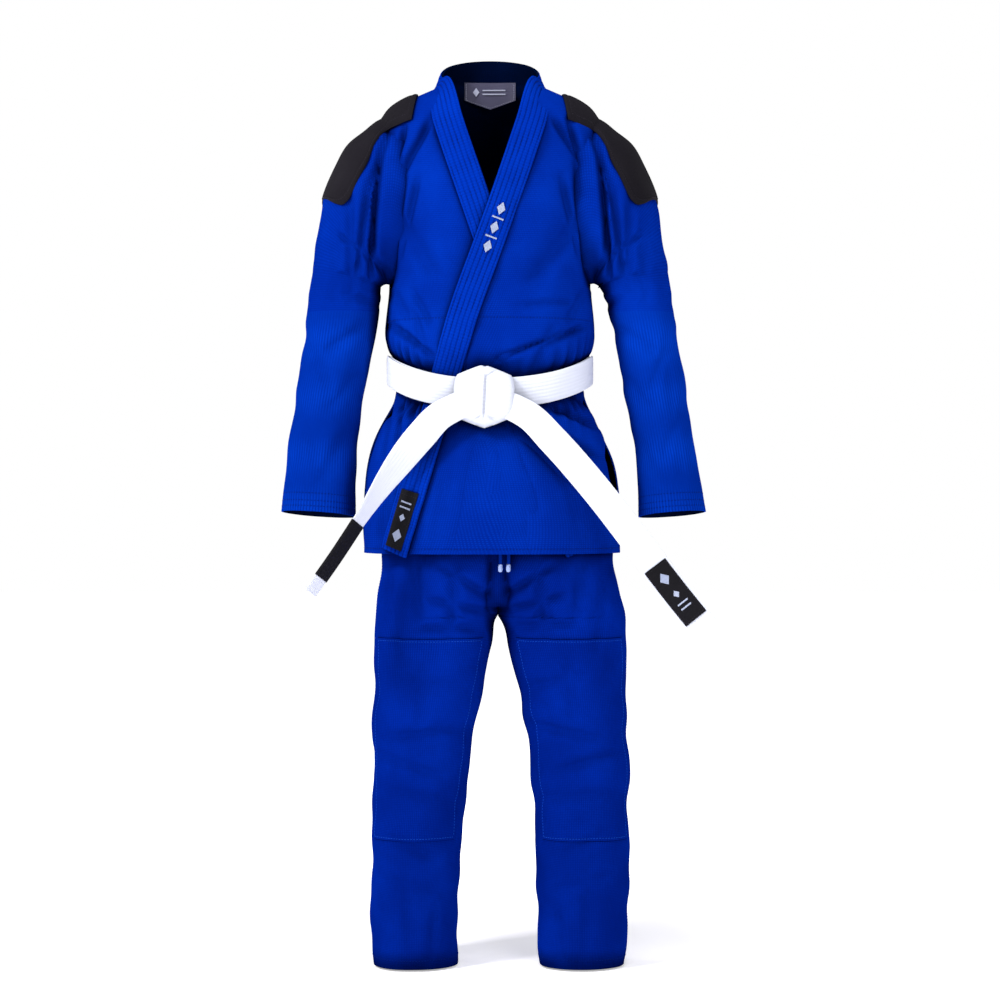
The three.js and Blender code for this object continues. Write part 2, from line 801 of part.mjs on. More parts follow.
const patchTop = -kneeDrop + kneePatchLength / 2;
const patchBottom = -kneeDrop - kneePatchLength / 2;
for (const [name, side] of [['left', 1], ['right', -1]]) {
  const form = legForm(side);
  const room = block(
    point(side > 0 ? trouserShift + clearance / 2 : -far, -far, -far * 4),
    point(side > 0 ? far : trouserShift - clearance / 2, far, far),
  );
  const hip = hipCloth.intersect(room);
  const gussetRoom = solid(prism(gussetOutline(clearance), -far, far));
  piece(`${name}_hip_fold`, body(hip.subtract(gussetRoom)), trouserLook);
  piece(
    `${name}_thigh`,
    sleeveOf(form, hipBottom - clearance, kneeTop, trouserWall, 0, 20),
    trouserLook,
  );
  piece(
    `${name}_knee_fold`,
    sleeveOf(form, kneeTop - clearance, kneeBottom + clearance, trouserWall, 0, 20),
    trouserLook,
  );
  piece(
    `${name}_shin`,
    sleeveOf(form, kneeBottom, hemZ, trouserWall, 0, 20),
    trouserLook,
  );
  const patch = solid(
    sleeveOf(form, patchTop, patchBottom, tapeWall, tapeWall + clearance, 20),
  );
  const front = block(point(-far, -far, -far * 4), point(far, -12, far));
  piece(`${name}_knee_patch`, body(patch.intersect(front)), trouserLook);
  piece(
    `${name}_hem_tape`,
    sleeveOf(form, hemZ + hemTapeHeight, hemZ + 1, tapeWall, -trouserWall - clearance, 20),
    trouserLook,
  );
}

// ---- Drawcord -----------------------------------------------------------------

const cordKnot = point(26, 8, 16);
const knotSpot = point(trouserShift / 2 + 6, -93.3, -waistbandDrop);
piece(
  'drawcord_knot',
  new THREE.BoxGeometry(...cordKnot.toArray()).translate(...knotSpot.toArray()),
  cordLook,
);
const cordEnds = [
  ['right', -6, [[-9, -96, -480], [-9, -101, -505], [2, -120, -580], [4, -125, -660]]],
  ['left', 6, [[9, -96, -480], [12, -101, -505], [16, -120, -585], [17, -125, -665]]],
];
const cordTipZ = -716;
for (const [name, shift, route] of cordEnds) {
  const start = point(knotSpot.x + shift, knotSpot.y, knotSpot.z - cordKnot.z / 2 - 3 * clearance);
  const foot = point(knotSpot.x + 10 + shift, -128, cordTipZ + clearance);
  const middle = route.map(([x, y, z]) => point(knotSpot.x + x, y, z));
  const curve = new THREE.CatmullRomCurve3([start, ...middle, foot]);
  const corners = [0, 45, 90, 135, 180, 225, 270, 315].map(radians);
  const section = new THREE.Shape(
    corners.map((a) => new THREE.Vector2(cordRadius * Math.cos(a), cordRadius * Math.sin(a))),
  );
  const geometry = new THREE.ExtrudeGeometry(section, {
    steps: 20,
    extrudePath: curve,
  });
  piece(`${name}_drawcord_end`, geometry, cordLook);
  const tip = new THREE.CylinderGeometry(tipRadius, tipRadius, tipLength, 12);
  tip.rotateX(Math.PI / 2).translate(foot.x, foot.y, cordTipZ - tipLength / 2);
  piece(`${name}_cord_tip`, tip, beltLook);
}

export default group;
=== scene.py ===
# Martial arts uniform: a crossover jacket, straight trousers and a belt tied in front.
# Shapes are worked out in millimetres and put into the meshes in metres.
import math

import bpy
import numpy as np
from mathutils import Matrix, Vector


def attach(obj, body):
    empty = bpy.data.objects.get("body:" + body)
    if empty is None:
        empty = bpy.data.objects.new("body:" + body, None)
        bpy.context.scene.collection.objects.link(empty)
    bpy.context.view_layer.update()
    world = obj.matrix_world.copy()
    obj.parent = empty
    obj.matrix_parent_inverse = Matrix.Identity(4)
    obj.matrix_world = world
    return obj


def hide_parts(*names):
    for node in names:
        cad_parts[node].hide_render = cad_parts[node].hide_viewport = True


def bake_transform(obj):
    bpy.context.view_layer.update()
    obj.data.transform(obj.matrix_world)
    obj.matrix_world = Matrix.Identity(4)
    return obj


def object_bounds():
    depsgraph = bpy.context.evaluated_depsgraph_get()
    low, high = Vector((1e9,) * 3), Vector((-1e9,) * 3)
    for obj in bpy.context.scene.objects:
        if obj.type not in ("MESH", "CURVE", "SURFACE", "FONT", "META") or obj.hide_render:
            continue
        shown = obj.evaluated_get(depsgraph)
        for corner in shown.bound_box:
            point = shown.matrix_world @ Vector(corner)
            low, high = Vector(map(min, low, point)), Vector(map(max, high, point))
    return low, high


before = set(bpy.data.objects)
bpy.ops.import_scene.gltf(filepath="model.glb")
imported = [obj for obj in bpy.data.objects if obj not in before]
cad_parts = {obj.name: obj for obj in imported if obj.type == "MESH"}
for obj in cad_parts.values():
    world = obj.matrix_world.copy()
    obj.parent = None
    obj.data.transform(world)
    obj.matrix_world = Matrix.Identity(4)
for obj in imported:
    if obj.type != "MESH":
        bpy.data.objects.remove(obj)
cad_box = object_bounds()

# ---- Studio ------------------------------------------------------------------------
# A pale floor just under the hems, soft light from big cloths in front and above, and
# a camera level with the middle of the uniform, straight in front of it.
seen_width = 1.55  # metres across the picture, at the uniform
distance = 3.5
middle_x, middle_z = 0.0155, -0.62


def linear(code):
    """The linear colour of an sRGB hex code: each channel is unbent from the sRGB curve."""
    channels = [int(code[n : n + 2], 16) / 255 for n in (1, 3, 5)]
    bent = [c / 12.92 if c < 0.04045 else ((c + 0.055) / 1.055) ** 2.4 for c in channels]
    return (*bent, 1.0)


def add(tree, kind, sockets=None, **settings):
    """Adds a node with its settings, and fills its inputs with values or other outputs."""
    made = tree.nodes.new("ShaderNode" + kind)
    for key, value in settings.items():
        setattr(made, key, value)
    for key, value in (sockets or {}).items():
        if isinstance(value, bpy.types.NodeSocket):
            tree.links.new(value, made.inputs[key])
        else:
            made.inputs[key].default_value = value
    return made


scene = bpy.context.scene
scene.view_settings.view_transform = "Standard"
lens = bpy.data.cameras.new("camera")
lens.lens = 36 * distance / seen_width
camera = bpy.data.objects.new("camera", lens)
camera.location = (middle_x, -distance, middle_z)
camera.rotation_euler = (math.pi / 2, 0, 0)
scene.collection.objects.link(camera)
scene.camera = camera

world = bpy.data.worlds.new("studio")
world.use_nodes = True
scene.world = world
sky = world.node_tree
sky.nodes.clear()
paper = add(sky, "Background", {"Color": linear("#ffffff"), "Strength": 1.0})
room = add(sky, "Background", {"Color": linear("#eef1fb"), "Strength": 0.24})
seen = add(sky, "LightPath").outputs["Is Camera Ray"]
both = add(sky, "MixShader", {0: seen, 1: room.outputs[0], 2: paper.outputs[0]})
add(sky, "OutputWorld", {"Surface": both.outputs[0]})

# Each light: its name, place, size across and watts.
softboxes = [
    ("key", (-2.5, -1.9, 1.9), 0.7, 135),
    ("fill", (1.4, -3.2, 0.4), 1.2, 36),
    ("top", (0.3, -0.9, 2.4), 0.8, 44),
    ("rim_left", (2.6, 1.6, 0.8), 1.2, 18),
    ("rim_right", (-2.6, 1.6, 0.8), 1.2, 18),
]
for name, place, size, watts in softboxes:
    lamp = bpy.data.lights.new(name, "AREA")
    lamp.size = size
    lamp.energy = watts
    box = bpy.data.objects.new(name, lamp)
    box.location = place
    aim = np.array([0, 0, -0.6]) - np.array(place)
    flat = math.hypot(aim[0], aim[1])
    box.rotation_euler = (math.atan2(flat, -aim[2]), 0, math.atan2(aim[1], aim[0]) - math.pi / 2)
    scene.collection.objects.link(box)


# Matt studio paint with a painted glow: pale under the uniform, where it glows a little, and glowing up to
# plain white further out.
glowing_floor_paint = bpy.data.materials.new("matt_paint_with_painted_glow")
glowing_floor_paint.use_nodes = True
tree = glowing_floor_paint.node_tree
tree.nodes.clear()
where = add(tree, "TexCoord").outputs["Object"]
far = add(tree, "VectorMath", {0: where}, operation="LENGTH").outputs["Value"]
near_to_far = {"From Min": 1.36, "From Max": 1.7, "To Min": 0.42, "To Max": 0.95}
glow = add(tree, "MapRange", {"Value": far, **near_to_far})
paint = {"Base Color": linear("#f3f1f6"), "Roughness": 0.8, "Specular IOR Level": 0.2}
paint["Emission Color"] = linear("#ffffff")
surface = add(tree, "BsdfPrincipled", {**paint, "Emission Strength": glow.outputs[0]})
add(tree, "OutputMaterial", {"Surface": surface.outputs[0]})

floor_mesh = bpy.data.meshes.new("floor")
spread = np.linspace(-14, 14, 9)
corner_x, corner_y = np.meshgrid(spread, spread)
low = float(cad_box[0][2]) - 0.002
points = np.stack([corner_x, corner_y, np.full_like(corner_x, low)], -1).reshape(-1, 3)
corner = np.arange(64) + np.arange(64) // 8
floor_mesh.from_pydata(points, [], np.stack([corner, corner + 1, corner + 10, corner + 9], -1))
floor_mesh.materials.append(glowing_floor_paint)
floor = bpy.data.objects.new("floor", floor_mesh)
scene.collection.objects.link(floor)

# ---- Drawcord ----------------------------------------------------------------------
# A flat-braided cotton cord that closes the trousers. It is tied in a small knot at the
# front of the waistband, and its two ends hang down inside the jacket to capped tips.
cord_radius = 2.6


def unit(vectors):
    """Vectors at length one."""
    return vectors / np.maximum(np.linalg.norm(vectors, axis=-1, keepdims=True), 1e-9)


def smooth(rows, at):
    """The values of a form at the places `at`. The form's rows start with their place,
    and each gap is a cubic whose slope at a row comes from the row's two neighbours."""
    rows = np.array(rows, float)
    rows = rows[np.argsort(rows[:, 0])]
    place, values = rows[:, 0], rows[:, 1:]
    slope = np.gradient(values, place, axis=0)
    at = np.clip(np.asarray(at, float), place[0], place[-1])
    n = np.clip(np.searchsorted(place, at) - 1, 0, len(place) - 2)
    gap = (place[n + 1] - place[n])[..., None]
    t = (at[..., None] - place[n][..., None]) / gap
    start, end = values[n], values[n + 1]
    return (
        (2 * t**3 - 3 * t**2 + 1) * start
        + (t**3 - 2 * t**2 + t) * gap * slope[n]
        + (3 * t**2 - 2 * t**3) * end
        + (t**3 - t**2) * gap * slope[n + 1]
    )


def along(points, count):
    """`count` points evenly spaced along a smooth line through the given points."""
    points = np.array(points, float)
    step = np.linalg.norm(np.diff(points, axis=0), axis=1)
    run = np.concatenate([[0], np.cumsum(step)])
    return smooth(np.column_stack([run, points]), np.linspace(0, run[-1], count))


def normals(grid, middle):
    """Unit normals of a grid of points, turned away from the point or line `middle`."""
    normal = unit(np.cross(np.gradient(grid, axis=0), np.gradient(grid, axis=1)))
    side = np.sum(normal * (grid - middle), axis=-1)
    return normal * (1 if side.mean() > 0 else -1)


def lengths(grid):
    """The cloth's own measure at each grid point: across the columns and down the rows."""
    across = np.linalg.norm(np.diff(grid, axis=1), axis=-1).mean(0)
    down = np.linalg.norm(np.diff(grid, axis=0), axis=-1).mean(1)
    u = np.concatenate([[0], np.cumsum(across)])
    v = np.concatenate([[0], np.cumsum(down)])
    return np.stack(np.meshgrid(u - u[-1] / 2, -v), -1)


def shell(outer, inner, joined_from=None, uv=None, slots=(0, 1)):
    """A closed wall between two grids of points. From the row `joined_from` down, the last
    column is the first one, so the wall closes on itself. Returns points, quads, one UV
    for each corner of a quad, and the slot of each quad."""
    rows, columns = outer.shape[:2]
    joined_from = rows if joined_from is None else joined_from
    i, j = np.meshgrid(np.arange(rows), np.arange(columns), indexing="ij")
    index = i * columns + np.where((j == columns - 1) & (i >= joined_from), 0, j)
    uv = lengths(outer) if uv is None else uv

    def quads(table, corners):
        """The table's numbers at the four corners of every quad."""
        return np.stack([table[a, b] for a, b in corners], -1)

    a, b = i[:-1, :-1].ravel(), j[:-1, :-1].ravel()
    around = [(a, b), (a, b + 1), (a + 1, b + 1), (a + 1, b)]
    face, face_uv = quads(index, around), np.stack([uv[p] for p in around], 1)
    other = index + rows * columns
    back, back_uv = quads(other, around)[:, ::-1], face_uv[:, ::-1]
    faces, uvs = [face, back], [face_uv, back_uv]
    kinds = [np.full(len(face), slots[0]), np.full(len(back), slots[1])]

    def rim(one, two, flip):
        """Closes the gap between the two grids along one edge, from `one` to `two`."""
        edge = np.stack([index[one], index[two], other[two], other[one]], -1)
        edge_uv = np.stack([uv[one], uv[two], uv[two], uv[one]], 1)
        faces.append(edge[:, ::-1] if flip else edge)
        uvs.append(edge_uv[:, ::-1] if flip else edge_uv)
        kinds.append(np.full(len(edge), slots[0]))

    c = np.arange(columns - 1)
    rim((np.full_like(c, 0), c), (np.full_like(c, 0), c + 1), True)
    rim((np.full_like(c, rows - 1), c), (np.full_like(c, rows - 1), c + 1), False)
    r = np.arange(min(joined_from, rows - 1))
    if len(r):
        rim((r, np.full_like(r, 0)), (r + 1, np.full_like(r, 0)), False)
        rim((r, np.full_like(r, columns - 1)), (r + 1, np.full_like(r, columns - 1)), True)
    points = np.concatenate([outer.reshape(-1, 3), inner.reshape(-1, 3)])
    return points, np.concatenate(faces), np.concatenate(uvs), np.concatenate(kinds)


def rod(path, radius, sides=12, slot=0, closed=False):
    """A round bar: circles of the given radius, square to a path, closed by small caps."""
    path = np.array(path, float)
    radius = np.broadcast_to(np.asarray(radius, float), len(path))
    ahead = np.gradient(path, axis=0)
    if closed:
        ahead[0] = ahead[-1] = path[1] - path[-2]
    ahead = unit(ahead)
    first = unit(np.cross(ahead, np.array([0.31, 0.9, 0.27])))
    second = np.cross(ahead, first)
    turn = np.linspace(0, 2 * np.pi, sides + 1)
    cos, sin = np.cos(turn)[None, :, None], np.sin(turn)[None, :, None]
    outer = path[:, None] + radius[:, None, None] * (cos * first[:, None] + sin * second[:, None])
    run = np.concatenate([[0], np.cumsum(np.linalg.norm(np.diff(path, axis=0), axis=1))])
    uv = np.stack(np.meshgrid(turn / (2 * np.pi) * sides, run), -1)
    inner = path[:, None] + 0.15 * (outer - path[:, None])
    return shell(outer, inner, 0, uv, (slot, slot))


def join(*parts):
    """Several parts as one: points, quads, UVs and slots, one after another."""
    start, points, faces = 0, [], []
    for part in parts:
        points.append(part[0])
        faces.append(part[1] + start)
        start += len(part[0])
    return (
        np.concatenate(points),
        np.concatenate(faces),
        np.concatenate([part[2] for part in parts]),
        np.concatenate([part[3] for part in parts]),
    )


def make(name, part, *materials, sharp=50):
    """A piece from its part: millimetres become metres, unused points are dropped, faces
    are turned outward by the solid's volume, and edges over `sharp` degrees stay crisp."""
    points, faces, uvs, kinds = part
    used, faces = np.unique(faces, return_inverse=True)
    points, faces = points[used] / 1000, faces.reshape(-1, 4)
    middle = points.mean(0)
    a, b, c, d = (points[faces[:, k]] - middle for k in range(4))
    volume = np.sum(a * np.cross(b, c)) + np.sum(a * np.cross(c, d))
    if volume < 0:
        faces, uvs = faces[:, ::-1], uvs[:, ::-1]
    mesh = bpy.data.meshes.new(name)
    mesh.vertices.add(len(points))
    mesh.vertices.foreach_set("co", points.astype(np.float32).ravel())
    mesh.loops.add(faces.size)
    mesh.loops.foreach_set("vertex_index", faces.astype(np.int32).ravel())
    mesh.polygons.add(len(faces))
    mesh.polygons.foreach_set("loop_start", np.arange(0, faces.size, 4, dtype=np.int32))
    mesh.polygons.foreach_set("material_index", kinds.astype(np.int32))
    layer = mesh.uv_layers.new(name="cloth")
    layer.data.foreach_set("uv", (uvs / 1000).astype(np.float32).ravel())
    mesh.update(calc_edges=True)
    mesh.validate()
    mesh.shade_smooth()
    mesh.set_sharp_from_angle(angle=math.radians(sharp))
    for material in materials:
        mesh.materials.append(material)
    piece = bpy.data.objects.new(name, mesh)
    scene.collection.objects.link(piece)
    return piece


def woven(
    name, light, dark, weft, warp, relief=0.5, twill=0.0, rough=0.85, uneven=0.5, shade=0.0
):
    """A woven cotton: threads a weft by a warp apart, in millimetres, over the cloth's own
    UV. Colour runs from dark in the hollows and worn patches to light on the threads.
    Painted shade darkens the colour in folds and crowded places, as strongly as `shade` says."""
    material = bpy.data.materials.new(name)
    material.use_nodes = True
    tree = material.node_tree
    tree.nodes.clear()
    place = add(tree, "TexCoord")
    # A wave node has 20 / 2 pi bands in a unit.
    bands = [2 * math.pi / 20 / (gap / 1000) for gap in (weft, warp)]
    threads = [
        add(
            tree,
            "TexWave",
            {"Vector": place.outputs["UV"], "Scale": scale, "Distortion": 0.8, "Detail": 1.0},
            bands_direction=way,
        ).outputs["Fac"]
        for way, scale in zip("XY", bands)
    ]
    crossed = add(tree, "Math", {0: threads[0], 1: threads[1]}, operation="MULTIPLY").outputs[0]
    grain = add(tree, "Math", {0: threads[0], 1: twill, 2: crossed}, operation="MULTIPLY_ADD")
    fibre = add(
        tree, "TexNoise", {"Vector": place.outputs["Object"], "Scale": 420.0, "Detail": 3.0}
    )
    cloud = add(
        tree, "TexNoise", {"Vector": place.outputs["Object"], "Scale": 9.0, "Detail": 4.0}
    )
    height = add(
        tree, "Math", {0: fibre.outputs["Fac"], 1: 0.6, 2: grain.outputs[0]}, operation="MULTIPLY_ADD"
    )
    worn = add(
        tree, "Math", {0: cloud.outputs["Fac"], 1: uneven, 2: -uneven / 2}, operation="MULTIPLY_ADD"
    )
    tone = add(
        tree, "Math", {0: height.outputs[0], 1: 0.12, 2: worn.outputs[0]}, operation="MULTIPLY_ADD"
    )
    ramp = add(tree, "ValToRGB", {"Fac": tone.outputs[0]})
    ramp.color_ramp.elements[0].position = 0.02
    ramp.color_ramp.elements[0].color = linear(dark)
    ramp.color_ramp.elements[1].position = 0.5
    ramp.color_ramp.elements[1].color = linear(light)
    # Painted shade: folds and crowded edges are darker in colour, by how much of the air they see.
    open_air = add(tree, "AmbientOcclusion", {"Distance": 0.035}, samples=8).outputs["AO"]
    painted_shade = add(tree, "Math", {0: open_air, 1: shade}, operation="POWER").outputs[0]
    colour = add(tree, "VectorMath", {0: ramp.outputs[0], "Scale": painted_shade}, operation="SCALE")
    bump = add(tree, "Bump", {"Height": height.outputs[0], "Strength": relief, "Distance": 0.0004})
    surface = add(
        tree,
        "BsdfPrincipled",
        {
            "Base Color": colour.outputs[0],
            "Roughness": rough,
            "Normal": bump.outputs[0],
            "Specular IOR Level": max(0.0, 0.85 - rough),
        },
    )
    add(tree, "OutputMaterial", {"Surface": surface.outputs[0]})
    return material


# Braided cotton: short slanting threads that catch the light on one side.
cord_cotton = woven("braided_cord_cotton", "#0444cc", "#022280", 2.0, 2.4, relief=0.9)
# Ribbed plastic: a pale cap, smoother than the cord, so it holds a soft highlight.
tip_plastic = woven("ribbed_tip_plastic", "#c5d0ee", "#8d9fd2", 2.2, 1.6, relief=0.5, rough=0.4)
cord_exits = {"right": (6, -93.3, -465.05), "left": (18, -93.3, -465.05)}
cord_routes = {
    "right": [(3, -96, -480), (3, -101, -505), (14, -120, -580), (16, -125, -660), (16, -128, -715.65)],
    "left": [(21, -96, -480), (24, -101, -505), (28, -120, -585), (29, -125, -665), (28, -128, -715.65)],
}
for side, route in cord_routes.items():
    path = along([cord_exits[side], *route], 60)
    cord = make(f"{side}_drawcord_end", rod(path, cord_radius, 16), cord_cotton)
    foot = np.array(route[-1])
    rise = np.array([-0.35, -1.0, -2.2, -3.2, -3.8, -9.0, -9.8, -11.4, -12.2])
    wide = np.array([2.2, 3.0, 3.3, 3.0, 3.4, 3.4, 3.0, 2.6, 0.8])
    tip = make(f"{side}_cord_tip", rod(foot + rise[:, None] * [0, 0, 1], wide, 16), tip_plastic)
    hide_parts(f"{side}_drawcord_end")
    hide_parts(f"{side}_cord_tip")
    for piece in (cord, tip):
        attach(piece, "trousers")

# The knot, an overhand loop of the same cord, pulled tight against the waistband.
turn = np.linspace(0, 2 * np.pi, 97)
knot_line = np.column_stack(
    [
        12 + 3.6 * (np.sin(turn) + 2 * np.sin(2 * turn)),
        -93.3 - 1.7 * np.sin(3 * turn),
        -456 + 1.9 * (np.cos(turn) - 2 * np.cos(2 * turn)),
    ]
)
drawcord_knot = make("drawcord_knot", rod(knot_line, 2.2, 12, closed=True), cord_cotton)
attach(drawcord_knot, "trousers")
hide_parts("drawcord_knot")

# ---- Jacket back -------------------------------------------------------------------
# One width of pearl-weave cotton from the collar to the hem, hollowed at the neck. The
# belt gathers it at the waist, and below the belt it hangs free between the side vents.
squareness = 2.3
torso_rows = [  # height, half width, half depth
    [14, 90, 58], [4, 113, 65], [-6, 136, 72], [-16, 152, 79], [-34, 167, 89], [-70, 173, 101],
    [-140, 171, 113], [-230, 163, 119], [-285, 157, 119], [-340, 159, 118], [-398, 151, 113],
    [-440, 142, 107], [-470, 146, 108], [-500, 165, 118], [-540, 184, 131], [-600, 197, 141],
    [-702, 200, 143],
]
belt_height, belt_dip = -421, 40


def skin(angle, z, grow=0.0):
    """A point of the jacket's skin: a squared-off ellipse at each height. The angle runs
    from the wearer's left side, 0, over the front, a quarter turn, to the right side."""
    sizes = smooth(torso_rows, z) + np.asarray(grow)[..., None]
    cos, sin = np.cos(angle), np.sin(angle)
    x = sizes[..., 0] * np.sign(cos) * np.abs(cos) ** (2 / squareness)
    y = -sizes[..., 1] * np.sign(sin) * np.abs(sin) ** (2 / squareness)
    return np.stack([x, y, z + 0 * x], -1)


def angle_at(x, z):
    """The angle of the skin's front at a distance x from the middle."""
    share = np.clip(x / smooth(torso_rows, z)[..., 0], -0.999, 0.999)
    return np.arccos(np.sign(share) * np.abs(share) ** (squareness / 2))


def ease(value, start, end):
    """A smooth step from 0 at start to 1 at end."""
    t = np.clip((value - start) / (end - start), 0, 1)
    return t * t * (3 - 2 * t)


def drape(u, v, size, seed):
    """Soft unevenness of about unit height: seven waves of random direction, added up,
    each from 0.6 to 1.6 times `size` long."""
    chance = np.random.default_rng(seed)
    total = 0
    for turn, start, share in chance.uniform([0, 0, 0.6], [np.pi, 2 * np.pi, 1.6], (7, 3)):
        run = (u * np.cos(turn) + v * np.sin(turn)) * 2 * np.pi / (size * share)
        total = total + np.sin(run + start)
    return total / 7**0.5


def grooves(points, lines, front=None):
    """How far cloth sinks at soft creases. Each is (x, z, x, z, width, depth), seen from
    the front: a bell curve of the distance to its line, fading towards both ends."""
    sunk = np.zeros(points.shape[:-1])
    x, z = points[..., 0], points[..., 2]
    for x0, z0, x1, z1, width, depth in lines:
        dx, dz = x1 - x0, z1 - z0
        t = ((x - x0) * dx + (z - z0) * dz) / (dx * dx + dz * dz)
        away = np.hypot(x - x0 - np.clip(t, 0, 1) * dx, z - z0 - np.clip(t, 0, 1) * dz)
        fade = ease(t, -0.15, 0.25) * ease(t, 1.15, 0.75)
        sunk = np.maximum(sunk, 1.8 * depth * fade * np.exp(-((away / (0.72 * width)) ** 2)))
    if front is not None:
        sunk = sunk * (ease(points[..., 1], 15, -25) if front else ease(points[..., 1], -15, 25))
    return sunk


def gathered(angle, z, seed, strength=1.0):
    """How the belt gathers cloth: pressed in under the belt, puffed out above and below
    it, with small upright puckers that die away from its edges."""
    line = belt_height - belt_dip * np.maximum(np.sin(angle), 0) ** 1.5
    off = z - line
    pressed = -2.6 * np.exp(-((off / 24) ** 4))
    puffed = 5.5 * np.exp(-(((off - 52) / 26) ** 2)) + 2.5 * np.exp(-(((off + 52) / 22) ** 2))
    reach = np.exp(-((np.maximum(np.abs(off) - 26, 0) / 34) ** 2)) * ease(np.abs(off), 16, 34)
    chance = np.random.default_rng(seed)
    start, size = chance.uniform(0, 6.3, 3), chance.uniform(0.8, 1.3, 3)
    arc = angle * 150
    waves = sum(np.sin(arc * 2 * np.pi / (23 * s) + p + off * 0.02) for p, s in zip(start, size))
    return pressed + strength * (puffed + 1.25 * reach * waves)


def stitches(line, away, gap=5.0, long=3.4, wide=0.9, lift=0.35, slot=2):
    """A row of thread stitches along a line of points: each is a slim six-sided block
    whose middle stands `lift` out of the cloth, in the direction `away`."""
    line, away = np.array(line, float), np.array(away, float)
    run = np.concatenate([[0], np.cumsum(np.linalg.norm(np.diff(line, axis=0), axis=1))])
    at = np.arange(gap / 2, run[-1], gap)

    def put(values, where):
        """The values at distances `where` along the line."""
        return np.stack([np.interp(where, run, values[:, k]) for k in range(3)], -1)

    middle, out = put(line, at), unit(put(away, at))
    ahead = unit(put(line, at + 1) - put(line, at - 1))
    side = np.cross(ahead, out)
    corners = [(-1, -1, 0), (1, -1, 0), (1, 1, 0), (-1, 1, 0), (-0.7, -0.6, 1), (0.7, -0.6, 1)]
    corners += [(0.7, 0.6, 1), (-0.7, 0.6, 1)]
    blocks = [
        middle + a * long / 2 * ahead + b * wide / 2 * side + (c * (lift + 0.3) - 0.3) * out
        for a, b, c in corners
    ]
    points = np.stack(blocks, 1).reshape(-1, 3)
    faces = np.array(
        [[3, 2, 1, 0], [4, 5, 6, 7], [0, 1, 5, 4], [1, 2, 6, 5], [2, 3, 7, 6], [3, 0, 4, 7]]
    )
    faces = (faces[None] + 8 * np.arange(len(at))[:, None, None]).reshape(-1, 4)
    flip = np.sum(np.cross(ahead, side) * out, axis=-1).mean() > 0
    faces = faces if flip else faces[:, ::-1]
    uvs = points[faces][..., [0, 2]]
    return points, faces, uvs, np.full(len(faces), slot)


def walled(grid, middle, wall, bumps=0.0, joined_from=None, slots=(0, 1)):
    """A cloth wall: the grid is its outer face, moved out by `bumps`; the inner face lies
    `wall` inside. Returns the part, the moved outer face and its normals."""
    outward = normals(grid, middle)
    outer = grid + outward * np.broadcast_to(bumps, grid.shape[:2])[..., None]
    if joined_from is not None:
        outer[joined_from:, -1] = outer[joined_from:, 0]
    outward = normals(outer, middle)
    inner = outer - wall * outward
    if joined_from is not None:
        inner[joined_from:, -1] = inner[joined_from:, 0]
    return shell(outer, inner, joined_from, slots=slots), outer, outward


# Pearl weave: a pebbled cotton whose raised grains are paler than the hollows between.
# The grains are 2 mm apart on the real cloth; they are drawn about 3 mm apart to show.
pearl_weave = woven(
    "pearl_weave_cotton", "#0240ca", "#011f7e", 3.0, 3.2, relief=0.3, uneven=0.3, shade=2.2
)
# The inside of the jacket: the same cloth in deep shade, so nearly black.
cloth_inside = woven("shaded_cotton_inside", "#03123f", "#01081f", 3.0, 3.2, relief=0.4)
# Lock stitches in matching polyester thread: deeper in colour than the cloth, so that each
# row reads as a fine dark line.
blue_thread = woven("blue_polyester_thread", "#022ea0", "#011a68", 1.2, 1.2, relief=0.2, rough=0.8)

hem = -701
jacket_wall = 2.2
vent_top = -500
back_rows, back_columns = 190, 150
z = np.linspace(13, hem, back_rows)[:, None]
share = np.linspace(0, 1, back_columns)[None]
opening = 10 * ease(z, vent_top, hem)
side_angle = np.arcsin((opening / smooth(torso_rows, z[:, 0])[:, 1:2]) ** (squareness / 2))
angle = -(side_angle + (np.pi - 2 * side_angle) * share)
back_creases = [
    (-70, -380, -105, -250, 12, 3.0), (75, -385, 112, -245, 12, 3.0),
    (-20, -375, -34, -290, 10, 1.8), (30, -378, 42, -300, 10, 1.8),
    (-120, -130, -60, -215, 18, 2.4), (122, -128, 58, -222, 18, 2.4),
    (-60, -480, -86, -610, 14, 3.0), (10, -480, 4, -600, 13, 2.6), (70, -482, 96, -630, 14, 3.2),
    (-120, -470, -158, -600, 12, 2.6), (124, -470, 160, -610, 12, 2.6),
]
# The back rises behind the neck to meet the collar's lower edge.
z = z + 19 * ease(np.abs(np.cos(angle)), 0.9, 0.6) * ease(z, -20, 13)
grid = skin(angle, z)
bumps = gathered(angle, z, 5) * ease(z, -60, -200)
bumps = bumps + 1.1 * drape(angle * 150, z, 95, 11) * ease(z, 10, -60)
bumps = bumps + 4.0 * ease(z, -500, -700) * np.sin(angle * 5.0 + 1.0)
bumps = bumps - grooves(grid, back_creases)
axis = grid * [0, 0, 1]
part, outer, outward = walled(grid, axis, jacket_wall, bumps)
low_row = np.argmin(np.abs(z[:, 0] - hem - 9))
waist_seam = np.argmin(np.abs(z[:, 0] + 352))
rows = [stitches(outer[r], outward[r]) for r in (low_row, waist_seam)]
jacket_back = make("jacket_back", join(part, *rows), pearl_weave, cloth_inside, blue_thread)
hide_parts("back_panel", "back_skirt")
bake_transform(jacket_back)

# ---- Jacket fronts -----------------------------------------------------------------
# Two widths of the same cloth. The wearer's right front lies underneath, and the left
# one crosses over it. Each is sewn into its lapel and turned up in a double hem.
def lapel_line(z):
    """How far a lapel's middle is from the jacket's middle: it leans in over the chest,
    crosses the middle and swings out again over the skirt. The corners are rounded."""
    return smooth(
        [[30, 86], [-40, 64], [-100, 45], [-150, 28], [-245, -5], [-340, -39], [-440, -67],
         [-540, -95], [-702, -142]],
        z,
    )[..., 0]


